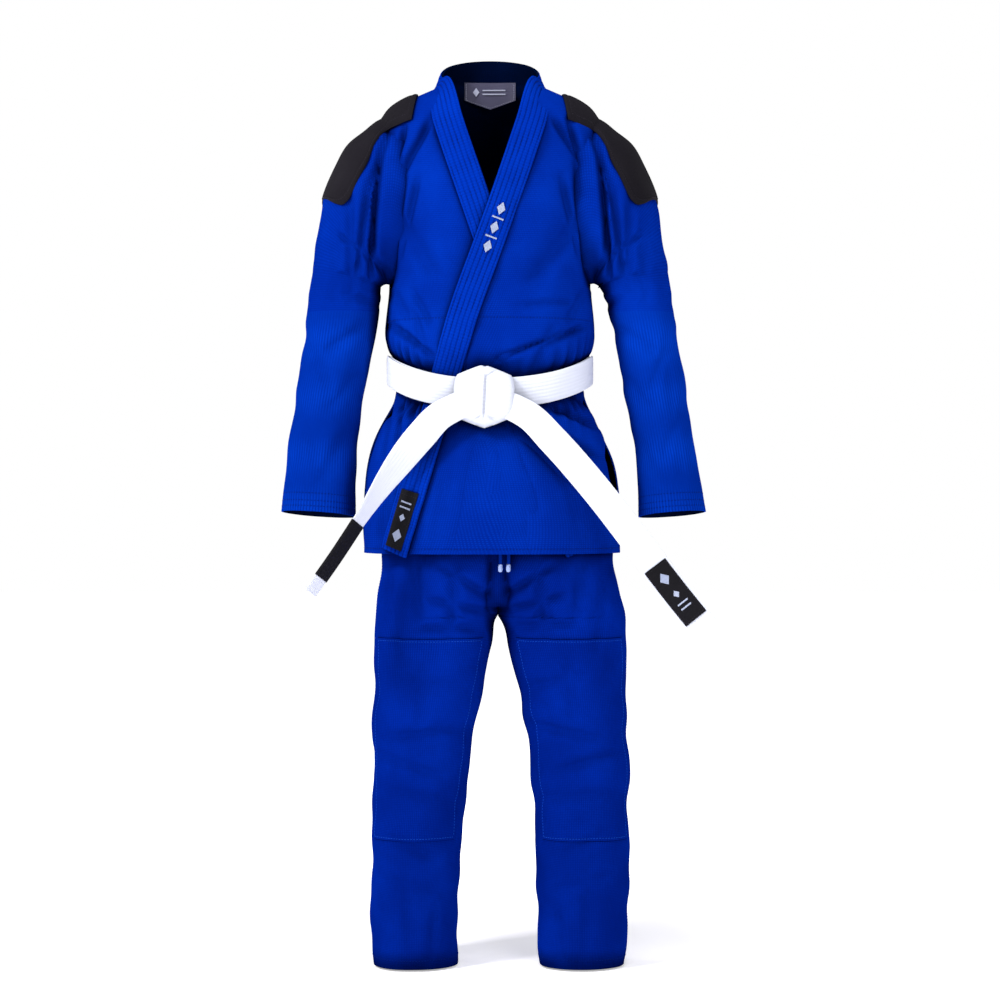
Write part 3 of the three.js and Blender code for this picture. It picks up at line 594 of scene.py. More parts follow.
front_creases = {
    "left": [
        (133, -105, 156, -290, 11, 7.0), (108, -130, 138, -250, 9, 4.0),
        (92, -34, 150, -120, 8, 4.5),
        (120, -40, 162, -165, 8, 6.0), (140, -190, 60, -300, 22, 5.0),
        (10, -409, 121, -364, 6, 3.5),
        (74, -392, 150, -352, 7, 3.5), (40, -330, 140, -318, 9, 2.2),
        (148, -300, 118, -352, 11, 3.0), (60, -430, 100, -352, 9, 2.2),
        (40, -505, 138, -600, 12, 7.5), (62, -498, 172, -560, 9, 6.5),
        (20, -512, 70, -640, 12, 5.0), (92, -478, 166, -508, 8, 5.5),
        (-12, -520, -34, -690, 18, 2.6), (24, -520, 52, -705, 20, 2.8),
        (120, -610, 150, -700, 14, 2.2),
        (-62, -560, -84, -700, 16, 2.0),
        (120, -455, 158, -478, 7, 3.0),
    ],
    "right": [
        (-133, -105, -158, -290, 11, 7.0), (-110, -130, -136, -250, 9, 4.0),
        (-85, -36, -150, -150, 9, 5.5),
        (-130, -50, -160, -160, 7, 5.5), (-140, -190, -80, -290, 22, 5.0),
        (-153, -350, -84, -403, 8, 4.5),
        (-120, -300, -88, -360, 9, 2.6),
        (-150, -300, -124, -350, 11, 2.6), (-96, -395, -118, -330, 9, 2.4),
        (-112, -462, -120, -530, 6, 3.2), (-130, -458, -142, -540, 6, 3.4),
        (-148, -455, -166, -560, 6, 3.0), (-98, -470, -100, -540, 5, 2.6),
        (-150, -600, -170, -690, 12, 2.4),
    ],
}
for side, hand, lift, vent in (("left", 1, 0.0, 58), ("right", -1, -2.6, 26)):
    rows_down, columns = 190, 110
    z = np.linspace(13, hem, rows_down)[:, None]
    inner_edge = hand * lapel_line(z[:, 0])[:, None]
    start = angle_at(inner_edge, z[:, 0][:, None])
    opening = vent * ease(z, vent_top + 2, vent_top - 55)
    opening = opening - 0.55 * vent * ease(z, vent_top - 80, hem)
    side_angle = np.arcsin((opening / smooth(torso_rows, z[:, 0])[:, 1:2]) ** (squareness / 2))
    end = side_angle if hand > 0 else np.pi - side_angle
    angle = start + (end - start) * np.linspace(0, 1, columns)[None]
    grid = skin(angle, z + 0 * angle, lift)
    near_lapel = np.abs(grid[..., 0] - hand * lapel_line(z))
    free = ease(near_lapel, 12, 42)
    bumps = gathered(angle, z, 21 + hand, 0.9) * ease(z, -60, -200) * (0.35 + 0.65 * free)
    bumps = bumps + 1.0 * drape(angle * 150, z, 90, 31 + hand) * ease(z, 10, -60) * free
    bumps = bumps + 2.6 * ease(z, -520, -700) * np.sin(angle * 6.0 + hand) * free
    bumps = bumps - grooves(grid, front_creases[side]) * free
    axis = np.stack([0 * z, 0 * z, z], -1)
    part, outer, outward = walled(grid, axis, jacket_wall, bumps)
    hem_row = np.argmin(np.abs(z[:, 0] - hem - 9))
    seam = np.argmin(np.abs(z[:, 0] + 347))
    rows = [stitches(outer[r], outward[r]) for r in (hem_row, seam)]
    front = make(f"{side}_front", join(part, *rows), pearl_weave, cloth_inside, blue_thread)
    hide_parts(f"{side}_front_panel", f"{side}_front_skirt")
    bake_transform(front)

# ---- Collar and lapels -------------------------------------------------------------
# One band, 46 mm wide, of doubled twill round a soft core. It runs from hem to hem round
# the neck and is quilted with five lengthwise rows of stitches.
band_points = 520


def chest_station(side, z, lift, tilt=0):
    """A station of the band on the jacket's front: its middle, the direction across it,
    towards the wearer's own side, and the one away from the chest. A tilt in degrees
    raises the inner edge."""
    def spot(height, shift=0.0):
        """The skin at the lapel's line at a height, `shift` further to the side."""
        x = np.atleast_1d(side * lapel_line(np.atleast_1d(float(height))) + shift)
        height = np.full(1, float(height))
        return skin(angle_at(x, height), height, lift)[0]

    slope = unit(spot(z + 6) - spot(z - 6))
    flat = unit(spot(z, 6) - spot(z, -6))
    out = unit(np.cross(slope, flat))
    out = -out if out[1] > 0 else out
    across = np.cross(out, slope)
    across = across if across[0] * side > 0 else -across
    cos, sin = math.cos(math.radians(tilt)), math.sin(math.radians(tilt))
    return np.concatenate([spot(z), cos * across - sin * out, cos * out + sin * across])


def neck_station(degrees):
    """A station round the back of the neck: the band stands on a flat ellipse, rises to
    the back and leans in towards the neck, more so at the sides."""
    angle = math.radians(degrees)
    back = max(math.sin(angle), 0.0)
    out = np.array([math.cos(angle), math.sin(angle), 0])
    middle = np.array([84 * out[0], 62 * out[1], 14 + 35 * back])
    lean = math.radians(12 + 22 * (1 - back))
    up = np.array([0, 0, 1.0])
    # Across points down and out, so that it runs on from the chest's outer edge.
    across = -(math.cos(lean) * up - math.sin(lean) * out)
    return np.concatenate([middle, across, math.cos(lean) * out + math.sin(lean) * up])


down = [-699, -660, -600, -545, -500, -470, -430, -380, -340, -300, -262, -222, -185, -150, -128]
down += [-105, -78, -48]
left_lift = np.interp(
    down, [-699, -540, -490, -340, -250, -200, -135, -100], [4.6, 4.2, 2.4, 2.4, 3.4, 4.6, 2.8, 1.9]
)
left_tilt = np.interp(down, [-340, -250, -200, -150, -105], [0, 5, 10, 9, 0])
right_lift = np.interp(down, [-699, -262, -222, -110, -60], [-9.4, -8.8, -0.4, 0.4, 1.7])
stations = [chest_station(1, z, *turned) for z, *turned in zip(down, left_lift, left_tilt)]
stations += [neck_station(a) for a in (-22, 2, 30, 60, 90, 120, 150, 178, 202)]
stations += [chest_station(-1, z, lift) for z, lift in zip(down, right_lift)][::-1]
stations = np.array(stations)
band = along(stations[:, :3], band_points)
run = np.concatenate([[0], np.cumsum(np.linalg.norm(np.diff(stations[:, :3], axis=0), axis=1))])
even = np.linspace(0, run[-1], band_points)
turning = smooth(np.column_stack([run, stations[:, 3:]]), even)
ahead = unit(np.gradient(band, axis=0))
face = turning[:, 3:] - ahead * np.sum(turning[:, 3:] * ahead, -1, keepdims=True)
face = unit(face)
across = np.cross(ahead, face)
across = across * np.sign(np.sum(across * turning[:, :3], -1, keepdims=True))
# The section, round: the quilted face, then the flat back.
top = np.linspace(-22.6, 22.6, 76)
rows_sewn = np.array([-18.5, -11, -3.7, 3.7, 11, 18.5])
pinch = np.exp(-(((top[:, None] - rows_sewn) / 1.0) ** 2)).sum(1)
lift = 3.5 * np.maximum(1 - np.abs(top / 23) ** 8, 0) ** 0.5 - 1.0 * pinch
back = np.linspace(22.6, -22.6, 14)
section = np.concatenate([np.column_stack([top, lift]), np.column_stack([back, 0 * back - 3.2])])
section = np.concatenate([section, section[:1]])
outer = band[:, None] + section[None, :, :1] * across[:, None] + section[None, :, 1:] * face[:, None]
down_band = np.linspace(0, 1, band_points)[:, None] * 1900
wave = 0.5 * drape(down_band, section[None, :, 0] * 2, 60, 41)
outer = outer + wave[..., None] * face[:, None] * 0.8
core = band[:, None] + 0.12 * (outer - band[:, None])
length = np.concatenate([[0], np.cumsum(np.linalg.norm(np.diff(band, axis=0), axis=1))])
girth = np.concatenate([[0], np.cumsum(np.linalg.norm(np.diff(section, axis=0), axis=1))])
band_uv = np.stack(np.meshgrid(girth, length), -1)
# Brushed twill: the lapel's cover, finer and a little brighter than the body's weave.
lapel_twill = woven(
    "quilted_twill_cotton", "#0244d4", "#01258e", 1.9, 4.6, relief=0.6, uneven=0.25, shade=1.2
)
sewn = []
for offset in rows_sewn:
    sink = np.interp(offset, top, lift)
    sewn.append(stitches(band + offset * across + sink * face, face, 6.0, 4.0, 0.8, 0.25, 1))
wall = shell(outer, core, 0, band_uv, (0, 0))
# The flat back of the band wears the inside's near-black colour as painted shade; the end caps keep the
# twill.
cell, cells_round = np.arange(len(wall[3])), len(section) - 1
on_back = cell % cells_round >= len(top)
wall[3][on_back & (cell < (band_points - 1) * cells_round)] = 2
quilted_band = join(wall, *sewn)
collar = make("collar_and_lapels", quilted_band, lapel_twill, blue_thread, cloth_inside)
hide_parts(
    "collar_band", "collar_core", "left_skirt_lapel", "left_skirt_core",
    "right_skirt_lapel", "right_skirt_core",
)
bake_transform(collar)


def plate(outline, place, right, up, out, thick, slot=0):
    """A thin raised plate with four corners, given across and up from `place`."""
    right, up, out = (unit(np.array(v, float)) for v in (right, up, out))
    flat = np.array([place + a * right + b * up for a, b in outline])
    points = np.concatenate([flat - 0.3 * out, flat + thick * out])
    faces = np.array(
        [[3, 2, 1, 0], [4, 5, 6, 7], [0, 1, 5, 4], [1, 2, 6, 5], [2, 3, 7, 6], [3, 0, 4, 7]]
    )
    loop_area = np.cross(flat[1] - flat[0], flat[3] - flat[0]) @ out
    faces = faces if loop_area > 0 else faces[:, ::-1]
    return points, faces, points[faces][..., [0, 2]], np.full(len(faces), slot)


def diamond(a, b, half_wide, half_high):
    """The corners of an upright diamond round the point (a, b)."""
    return [(a - half_wide, b), (a, b - half_high), (a + half_wide, b), (a, b + half_high)]


# A plain embroidered mark on the left lapel: three diamonds and two bars of grey thread.
grey_thread = woven("grey_satin_stitch", "#c9cfdd", "#8d97b4", 0.9, 1.1, relief=0.7, rough=0.45)
spot = np.argmin(np.abs(band[:260, 2] + 214))
frame_at = (band[spot] + 3.5 * face[spot], across[spot], ahead[spot], face[spot])
marks = [diamond(0, 30 * k, 6.5, 10) for k in (-1, 0, 1)]
marks += [
    [(-9, 15 * k - 1.2), (9, 15 * k - 1.2), (9, 15 * k + 1.2), (-9, 15 * k + 1.2)] for k in (-1, 1)
]
mark = make("lapel_embroidery", join(*[plate(m, *frame_at, 0.5) for m in marks]), grey_thread)
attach(mark, "jacket")

# ---- Neck label --------------------------------------------------------------------
# A five-sided woven label inside the back of the neck, sewn on along its edge.
# Satin-woven ribbon: fine flat threads with a soft shine.
label_satin = woven("woven_label_satin", "#5d5b78", "#35334c", 0.8, 1.0, relief=0.4, rough=0.5)
# The thread that its marks are woven in, paler than the ground.
label_print = woven("pale_label_thread", "#c4c6d6", "#9396ac", 0.8, 0.9, relief=0.4, rough=0.5)
share = np.linspace(-1, 1, 61)[None]
fall = np.linspace(0, 1, 40)[:, None]
label_z = 36 + fall * (-28 - 14 * (1 - np.abs(share)))
label_x = 40 * share + 0 * fall
label_y = 52.4 - 2.2 * np.abs(share) ** 3 + 0.25 * drape(label_x, label_z, 30, 51)
grid = np.stack([label_x, label_y, label_z], -1)
part, outer, outward = walled(grid, np.array([0, 90, 0]), 0.9)
ring_of = np.concatenate([outer[2:-2, 2], outer[-3, 2:-2], outer[2:-2, -3][::-1]])
hemming = stitches(ring_of, np.tile([0.0, -1, 0], (len(ring_of), 1)), 3.6, 2.4, 0.7, 0.3)
facing = (np.array([0, 51.4, 21]), [1, 0, 0], [0, 0, 1], [0, -1, 0])
bars = [diamond(-22, 0, 5, 7)]
bars += [[(-12, b - 1), (24, b - 1), (24, b + 1), (-12, b + 1)] for b in (-3, 3)]
printed = [plate(m, *facing, 0.5, 2) for m in bars]
part = join(part, *printed, hemming)
neck_label = make("neck_label", part, label_satin, label_satin, label_print)
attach(neck_label, "jacket")
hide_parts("neck_label")

# ---- Sleeves -----------------------------------------------------------------------
# Each sleeve is a tube of ribbed weave. Its head fans out from the armpit over the
# shoulder and runs on inside the jacket; the cuff is faced with tape on the inside.
# Ribbed weave: low ribs down the sleeve, which give it faint upright lines.
rib_weave = woven(
    "ribbed_sleeve_cotton", "#0345d0", "#012484", 4.4, 90.0, relief=0.25, twill=0.35, uneven=0.3, shade=2.2
)
armpit = np.array([160, 0, -292.0])
head_rows = [  # angle from upright, reach from the armpit, half depth
    [-24, 240, 70], [-12, 256, 74], [-4, 264, 77], [3, 254, 79], [8, 240, 80], [15.5, 224, 80],
    [22.8, 200, 79], [32, 175, 76], [47, 142, 70], [61.4, 125, 64], [78, 117, 59],
]
sleeve_rows = {  # height, middle, half width, half depth
    "left": [[-292, 226, 54, 56], [-325, 233, 51, 55], [-400, 247, 48.5, 52], [-455, 256, 48.5, 51],
             [-530, 269, 47.5, 50], [-604, 279, 49.5, 50], [-645, 283, 53, 51]],
    "right": [[-292, 224, 56, 56], [-325, 227, 56, 55], [-400, 238, 54, 52], [-455, 248, 53, 51],
              [-530, 258, 53, 50], [-604, 264, 56, 50], [-645, 266, 58, 51]],
}
sleeve_square = 2.1
split = -331
cuff = -637


def bent(value, power):
    """A cosine or sine squared off by a power over 2."""
    return np.sign(value) * np.abs(value) ** (2 / power)


def head_ring(degrees, turn, hand, grow=0.0, draw=0.0):
    """A ring of the sleeve's head, standing on the armpit and leaning out by an angle."""
    reach, depth = np.moveaxis(smooth(head_rows, degrees), -1, 0)
    lean = np.radians(degrees)
    half = (reach - 7) / 2
    out = 7 + half + (half + grow) * bent(np.cos(turn), sleeve_square)
    x = armpit[0] + np.sin(lean) * out - draw
    y = -(depth + grow) * bent(np.sin(turn), sleeve_square)
    return np.stack([hand * x, y, armpit[2] + np.cos(lean) * out], -1)


def sleeve_ring(side, z, turn, hand, grow=0.0):
    """A level ring of the sleeve below the armpit. The turn starts on the outer side."""
    middle, half, depth = np.moveaxis(smooth(sleeve_rows[side], z), -1, 0)
    x = middle + (half + grow) * bent(np.cos(turn), sleeve_square)
    y = -(depth + grow) * bent(np.sin(turn), sleeve_square)
    return np.stack([hand * x, y, z + 0 * x], -1)


sleeve_creases = {
    "upper": [
        (150, -276, 246, -206, 10, 4.0), (160, -296, 250, -272, 10, 3.2),
        (172, -322, 232, -300, 12, 2.2),
        (150, -40, 190, -170, 7, 5.0), (166, -70, 182, -290, 7, 7.0),
        (182, -130, 206, -300, 9, 5.0),
        (214, -160, 210, -320, 12, 3.6), (236, -190, 240, -326, 14, 2.6),
    ],
    "lower": [
        (188, -352, 262, -400, 13, 2.4), (286, -360, 236, -470, 15, 2.4),
        (200, -424, 250, -486, 14, 1.8),
        (304, -460, 262, -570, 16, 2.0), (220, -516, 262, -600, 16, 1.6),
        (270, -380, 296, -600, 15, 1.6),
    ],
}
turn = np.linspace(0, 2 * np.pi, 97)[None]
for side, hand in (("left", 1), ("right", -1)):
    lean = np.linspace(-24, 78, 84)[:, None]
    fan = head_ring(lean + 0 * turn, turn + 0 * lean, hand)
    inside = [head_ring(-24 + 0 * turn, turn, hand, -draw * 0.12, draw) for draw in (36, 24, 12)]
    levels = np.linspace(-300, split, 12)[:, None]
    tube = sleeve_ring(side, levels + 0 * turn, turn + 0 * levels, hand)
    grid = np.concatenate([*inside, fan, tube])
    swell = 1.0 * drape(np.cos(turn) * 60 + 0 * grid[..., 2], grid[..., 2], 80, 61 + hand)
    swell = swell + 0.6 * drape(np.sin(turn) * 50, grid[..., 2], 50, 65 + hand)
    mirror = grid * [hand, 1, 1]
    swell = (swell - grooves(mirror, sleeve_creases["upper"])) * ease(grid[..., 2], split, split + 16)
    axis = grid.mean(1, keepdims=True)
    part, outer, outward = walled(grid, axis, jacket_wall, swell, 0)
    upper = make(f"{side}_upper_sleeve", part, pearl_weave, cloth_inside, sharp=70)
    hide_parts(f"{side}_armhole_fold", f"{side}_upper_sleeve")
    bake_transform(upper)

    fall = np.linspace(0, 1, 110)[:, None]
    foot = cuff - 5 + 4.0 * np.cos(turn) + 4.5 * np.sin(turn)
    z = split + (foot - split) * fall
    grid = sleeve_ring(side, z, turn + 0 * fall, hand)
    swell = 0.9 * drape(np.cos(turn) * 60 + 0 * z, z, 70, 71 + hand)
    mirror = grid * [hand, 1, 1]
    swell = (swell - grooves(mirror, sleeve_creases["lower"])) * ease(z, split, split - 16)
    swell = swell * ease(z, cuff, cuff + 60)
    axis = grid.mean(1, keepdims=True)
    part, outer, outward = walled(grid, axis, jacket_wall, swell, 0)
    sewn = [stitches(outer[r], outward[r], 5.0, 3.4, 0.8, 0.3) for r in (-4, -7, -11)]
    lower = make(
        f"{side}_lower_sleeve", join(part, *sewn), rib_weave, cloth_inside, blue_thread, sharp=70
    )
    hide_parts(f"{side}_elbow_fold", f"{side}_lower_sleeve")
    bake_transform(lower)

    # The facing tape: a herringbone cotton band, 32 mm deep, inside the cuff. It wears the inside's
    # near-black colour as painted shade.
    fall = np.linspace(0, 1, 10)[:, None]
    z = foot + 2 + 30 * (1 - fall)
    grid = sleeve_ring(side, z, turn + 0 * fall, hand, -jacket_wall - 0.5)
    part, _, _ = walled(grid, grid.mean(1, keepdims=True), 1.2, 0.0, 0, (0, 0))
    tape = make(f"{side}_cuff_tape", part, cloth_inside)
    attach(tape, f"{side}_lower_sleeve")
    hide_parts(f"{side}_cuff_tape")

# ---- Shoulder pads -----------------------------------------------------------------
# A charcoal patch of padded synthetic suede over each shoulder, stitched down all round
# with one row. It lies on the jacket's shoulder and the head of the sleeve.
# Synthetic suede: a short matt nap that stays nearly black in any light.
suede = woven(
    "charcoal_synthetic_suede", "#26232b", "#141217", 1.6, 1.6, relief=0.35, rough=0.8, uneven=0.3
)
# Polyester thread, a shade paler than the suede, so that its rows just show.
grey_stitch = woven("charcoal_thread", "#3a3740", "#232128", 1.0, 1.0, relief=0.2, rough=0.8)
# The patch's front edge, as an angle from upright about the armpit and a distance.
pad_edge = [
    [-9.5, 254], [-5, 245], [1, 232], [4.5, 212], [7, 193], [12, 170], [18, 150], [24, 138],
    [29, 138], [33, 150], [37, 165],
]
centre = 120.0


def over_shoulder(lean, round_):
    """How far the jacket's surface, body or sleeve, is from a line that runs `centre` from
    the armpit: the larger of the two, each found by halving the distance again and again."""
    reach, depth = np.moveaxis(smooth(head_rows, lean), -1, 0)
    tilt = np.radians(lean)
    near, far = np.zeros_like(lean + round_), np.full_like(lean + round_, 260.0)
    for _ in range(26):
        half_way = (near + far) / 2
        out = centre + half_way * np.cos(round_)
        y = half_way * np.sin(round_)
        x, z = armpit[0] + out * np.sin(tilt), armpit[2] + out * np.cos(tilt)
        half = (reach - 7) / 2
        in_head = np.abs((out - 7 - half) / half) ** sleeve_square + np.abs(y / depth) ** sleeve_square
        sizes = smooth(torso_rows, z)
        in_body = np.abs(x / sizes[..., 0]) ** squareness + np.abs(y / sizes[..., 1]) ** squareness
        in_body = np.where(z > 14, 9, in_body)
        inside = np.minimum(in_head, in_body) < 1
        near, far = np.where(inside, half_way, near), np.where(inside, far, half_way)
    return near


lean = np.linspace(-9.3, 38, 90)[:, None]
whole = np.linspace(0, np.pi * 0.75, 400)[None]
surface = over_shoulder(lean + 0 * whole, whole + 0 * lean)
height_at = centre + surface * np.cos(whole)
edge = smooth(pad_edge, lean[:, 0])[:, 0]
edge_turn = np.array([np.interp(-e, -h, whole[0]) for e, h in zip(edge, height_at)])
edge_turn = edge_turn * ease(lean[:, 0], 38.6, 31.5) ** 0.5
round_ = np.linspace(-1, 1, 96)[None] * np.maximum(edge_turn, 0.05)[:, None]
base = over_shoulder(lean + 0 * round_, round_)
base = (base + np.roll(base, 1, 1) + np.roll(base, -1, 1)) / 3 * 0.5 + 0.5 * base
rim = np.minimum(1 - np.abs(np.linspace(-1, 1, 96))[None], 1) * 48
rim = np.minimum(rim, np.minimum(lean + 9.3, 38 - lean) * 3.4)
crown = 1.6 + 3.6 * (1 - np.exp(-np.maximum(rim, 0) / 2.2)) - 0.9 * np.exp(-(((rim - 5.5) / 1.1) ** 2))
crown = crown + 0.35 * drape(lean * 4, round_ * 90, 50, 81)


def pad_points(rise, hand):
    """The pad's surface `rise` above the jacket: a distance from the line beside the
    armpit, turned about that line, and the line leaned out from upright."""
    out = centre + (base + rise) * np.cos(round_)
    tilt = np.radians(lean)
    x, z = armpit[0] + out * np.sin(tilt), armpit[2] + out * np.cos(tilt)
    return np.stack([hand * x, -(base + rise) * np.sin(round_), z], -1)


for side, hand in (("left", 1), ("right", -1)):
    outer, inner = pad_points(crown, hand), pad_points(-0.6 + 0 * crown, hand)
    outward = normals(outer, np.array([hand * 160, 0, -200]))
    loop, out = (
        np.concatenate([g[3:-4, 4], g[-5, 4:-4], g[3:-4, -5][::-1], g[3, 4:-4][::-1]])
        for g in (outer, outward)
    )
    part = join(shell(outer, inner, slots=(0, 0)), stitches(loop, out, 4.2, 2.8, 0.8, 0.3, 1))
    pad = make(f"{side}_shoulder_pad", part, suede, grey_stitch)
    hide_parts(f"{side}_shoulder_pad")
    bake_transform(pad)

# ---- Belt --------------------------------------------------------------------------
# A band of white cotton, 45 mm wide, round a stiff core and quilted with eight rows. It
# goes twice round the waist, dips to a flat knot in front and ends in two tails.
# Bleached cotton: a plain weave, near white, faintly blue in its hollows.
belt_cotton = woven(
    "white_belt_cotton", "#f7f8ff", "#d4d8e6", 1.6, 2.2, relief=0.2, uneven=0.2, shade=0.6
)
belt_width, belt_thickness = 45, 4
strap_high = np.linspace(-1, 1, 40)
belt_seams = np.linspace(-0.84, 0.84, 8)
strap_puff = np.maximum(1 - np.abs(strap_high) ** 10, 0) ** 0.5
strap_puff = strap_puff - 0.2 * np.exp(-(((strap_high[:, None] - belt_seams) / 0.035) ** 2)).sum(1)


def strap(middle, across, face, width, thickness):
    """A flat quilted strap along a line: the section is a slim rounded bar with a groove
    at each row of stitches, and its ends are closed."""
    wide = np.broadcast_to(np.asarray(width, float), len(middle))[:, None, None]
    place = middle[:, None] + across[:, None] * strap_high[None, :, None] * wide / 2
    lift = (strap_puff * thickness / 2)[None, :, None] * face[:, None]
    length = np.concatenate([[0], np.cumsum(np.linalg.norm(np.diff(middle, axis=0), axis=1))])
    uv = np.stack(np.meshgrid(strap_high * belt_width / 2, length), -1)
    return shell(place + lift, place - lift, uv=uv, slots=(0, 0))


waist_x, waist_y = 151.5, 116.5
turns = np.linspace(0, 2 * np.pi, 241)
for name, start, shift in (("belt_inner_wrap", 0.0, 0.0), ("belt_outer_wrap", 4.35, 0.9)):
    dip = np.maximum(np.sin(turns), 0) ** 1.5
    away = 2.0 + start
    x = (waist_x + away) * bent(np.cos(turns), squareness)
    y = -(waist_y + away) * bent(np.sin(turns), squareness)
    ripple = 0.5 * np.sin(turns * 3 + start) * np.sin(turns / 2) ** 2
    z = belt_height + 1.5 - belt_dip * dip + shift * np.sin(turns * 2 + 0.6) + ripple
    line = np.column_stack([x, y, z])
    ahead = np.gradient(line, axis=0)
    ahead[0] = ahead[-1] = line[1] - line[-2]
    face = unit(np.cross(unit(ahead), [0.0, 0, 1]))
    face = face * np.sign(np.sum(face * line * [1, 1, 0], -1, keepdims=True))
    part = strap(line, np.tile([0.0, 0, 1], (241, 1)), face, belt_width, belt_thickness)
    wrap = make(name, part, belt_cotton)
    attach(wrap, "jacket")
    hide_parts(name)

# The knot: the strap folded over itself into a flat six-sided pad, with a fold down the
# middle and a chevron of cloth above and below.
knot_x, knot_z, knot_back, knot_thick = -8, -465, -124.6, 26
s = np.linspace(-1, 1, 90)[None]
t = np.linspace(-1, 1, 90)[:, None]
top_line = 32 + 15.5 * (1 - np.abs(s + 0.04) ** 1.15) - 2.5 * np.exp(-((s / 0.08) ** 2))
low_line = -32.5 - 15.5 * (1 - np.abs(s) ** 1.1)
tall = (top_line + low_line) / 2 + t * (top_line - low_line) / 2
wide = (46 - 5.5 * np.abs(t) ** 3) * s
round_edge = np.maximum(1 - np.abs(t) ** 7, 0) ** 0.45 * np.maximum(1 - np.abs(s) ** 9, 0) ** 0.45
relief = 0.80 + 0.2 * np.exp(-((s / 0.55) ** 2))
relief = relief - 0.16 * np.exp(-(((s - 0.02 - 0.05 * t) / 0.045) ** 2)) * ease(np.abs(t), 0.95, 0.5)
for tip, side in ((0.56, 1), (-0.56, -1)):
    for hand in (-1, 1):
        run = tall - tip * 48 - side * hand * s * 26
        relief = relief - 0.10 * np.exp(-((run / 2.2) ** 2)) * (s * hand > 0) * ease(np.abs(s), 0, 0.15)
grain_rows = 0.012 * np.cos(tall * 2 * np.pi / 5.6 + np.abs(s) * 9)
# Below the hinge the back slopes forward, so that the skirt can lift under it.
slope = ease(tall, -28, -50) * 13
front_y = knot_back - 1 - (knot_thick - 1.5) * round_edge * (relief + grain_rows)
back_y = np.minimum(knot_back - slope + 0 * s, knot_back)
front_y = np.minimum(front_y, back_y - 0.6)
outer = np.stack([knot_x + wide, front_y, knot_z + tall], -1)
inner = np.stack([knot_x + wide, back_y, knot_z + tall], -1)
knot = make("belt_knot", shell(outer, inner, slots=(0, 0)), belt_cotton, sharp=80)
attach(knot, "jacket")
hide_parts("belt_knot")

# The tails come out of the knot's lower corners, turn down and hang clear of the skirt.
# Each is a sheet of the same strap; the right one twists until it is seen edge on.
# Satin weave: fine, flat and nearly black, a little smoother than the belt.
black_satin = woven(
    "black_woven_satin", "#1d1c22", "#0e0d11", 1.2, 1.4, relief=0.35, rough=0.75, uneven=0.3
)
swings = {"right": (-1, 35.5, 325), "left": (1, 39.0, 411)}
tails = {}
for side, (hand, degrees, long) in swings.items():
    root = np.array([knot_x + hand * 66.85, -140.85 - 2.0, -494])
    lean = math.radians(7)
    swing = math.radians(degrees)
    fall = -math.cos(swing)
    down_line = np.array([hand * math.sin(swing), fall * math.sin(lean), fall * math.cos(lean)])
    out_face = np.array([0, -math.cos(lean), math.sin(lean)])
    tip = root + down_line * long
    sway = np.array([hand * 1.0, 0, 0.3])
    path = [
        root + [-hand * 47, 7, 22], root + [-hand * 24, 3, 12], root + [-hand * 2, 0, 0.0],
        root + down_line * 0.12 * long + sway * 4, root + down_line * 0.35 * long + sway * 7,
        root + down_line * 0.6 * long + sway * 4, root + down_line * 0.8 * long + sway * 1, tip,
    ]
    line = along(path, 260)
    ahead = unit(np.gradient(line, axis=0))
    flat = unit(np.cross(ahead, np.tile(out_face, (260, 1))))
    face = np.cross(flat, ahead)
    face = face * np.sign(np.sum(face * out_face, -1, keepdims=True))
    run = np.linspace(0, 1, 260)
    twist = np.radians(73 * ease(run, 0.1, 0.7) if hand < 0 else -9 * ease(run, 0.1, 0.62))[:, None]
    across = flat * np.cos(twist) + face * np.sin(twist)
    face = face * np.cos(twist) - flat * np.sin(twist)
    tails[side] = (line, across, face)
    part = strap(line, across, face, belt_width - 4 * ease(run, 0.25, 0.0), belt_thickness)
    tail = make(f"{side}_belt_tail", part, belt_cotton)
    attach(tail, f"{side}_tail")
    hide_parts(f"{side}_belt_tail")

# The rank bar is a black sleeve sewn round the right tail; the left tail has a label.
line, across, face = tails["right"]
run = np.linspace(0, 1, 260)
length = 377
first, last = np.searchsorted(run, [(200 + 52) / length, (300 + 52) / length])
bar = slice(first, last)
wide, thick = belt_width / 2 + 0.7, belt_thickness / 2 + 0.7
section = np.array([[math.cos(a), math.sin(a)] for a in np.linspace(0, 2 * np.pi, 49)])
section = np.column_stack([wide * bent(section[:, 0], 12), thick * bent(section[:, 1], 4)])
sleeve_out, sleeve_in = (
    line[bar, None]
    + k * section[None, :, :1] * across[bar, None]
    + m * section[None, :, 1:] * face[bar, None]
    for k, m in ((1, 1), (0.985, 0.8))
)
part = shell(sleeve_out, sleeve_in, 0, slots=(0, 0))
for end in (first + 2, last - 3):
    rows = line[end] + np.linspace(-20, 20, 30)[:, None] * across[end] + thick * face[end]
    part = join(part, stitches(rows, np.tile(face[end], (30, 1)), 3.6, 2.4, 0.7, 0.3, 1))
rank_bar = make("rank_bar", part, black_satin, grey_stitch)
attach(rank_bar, "right_tail")
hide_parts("rank_bar")


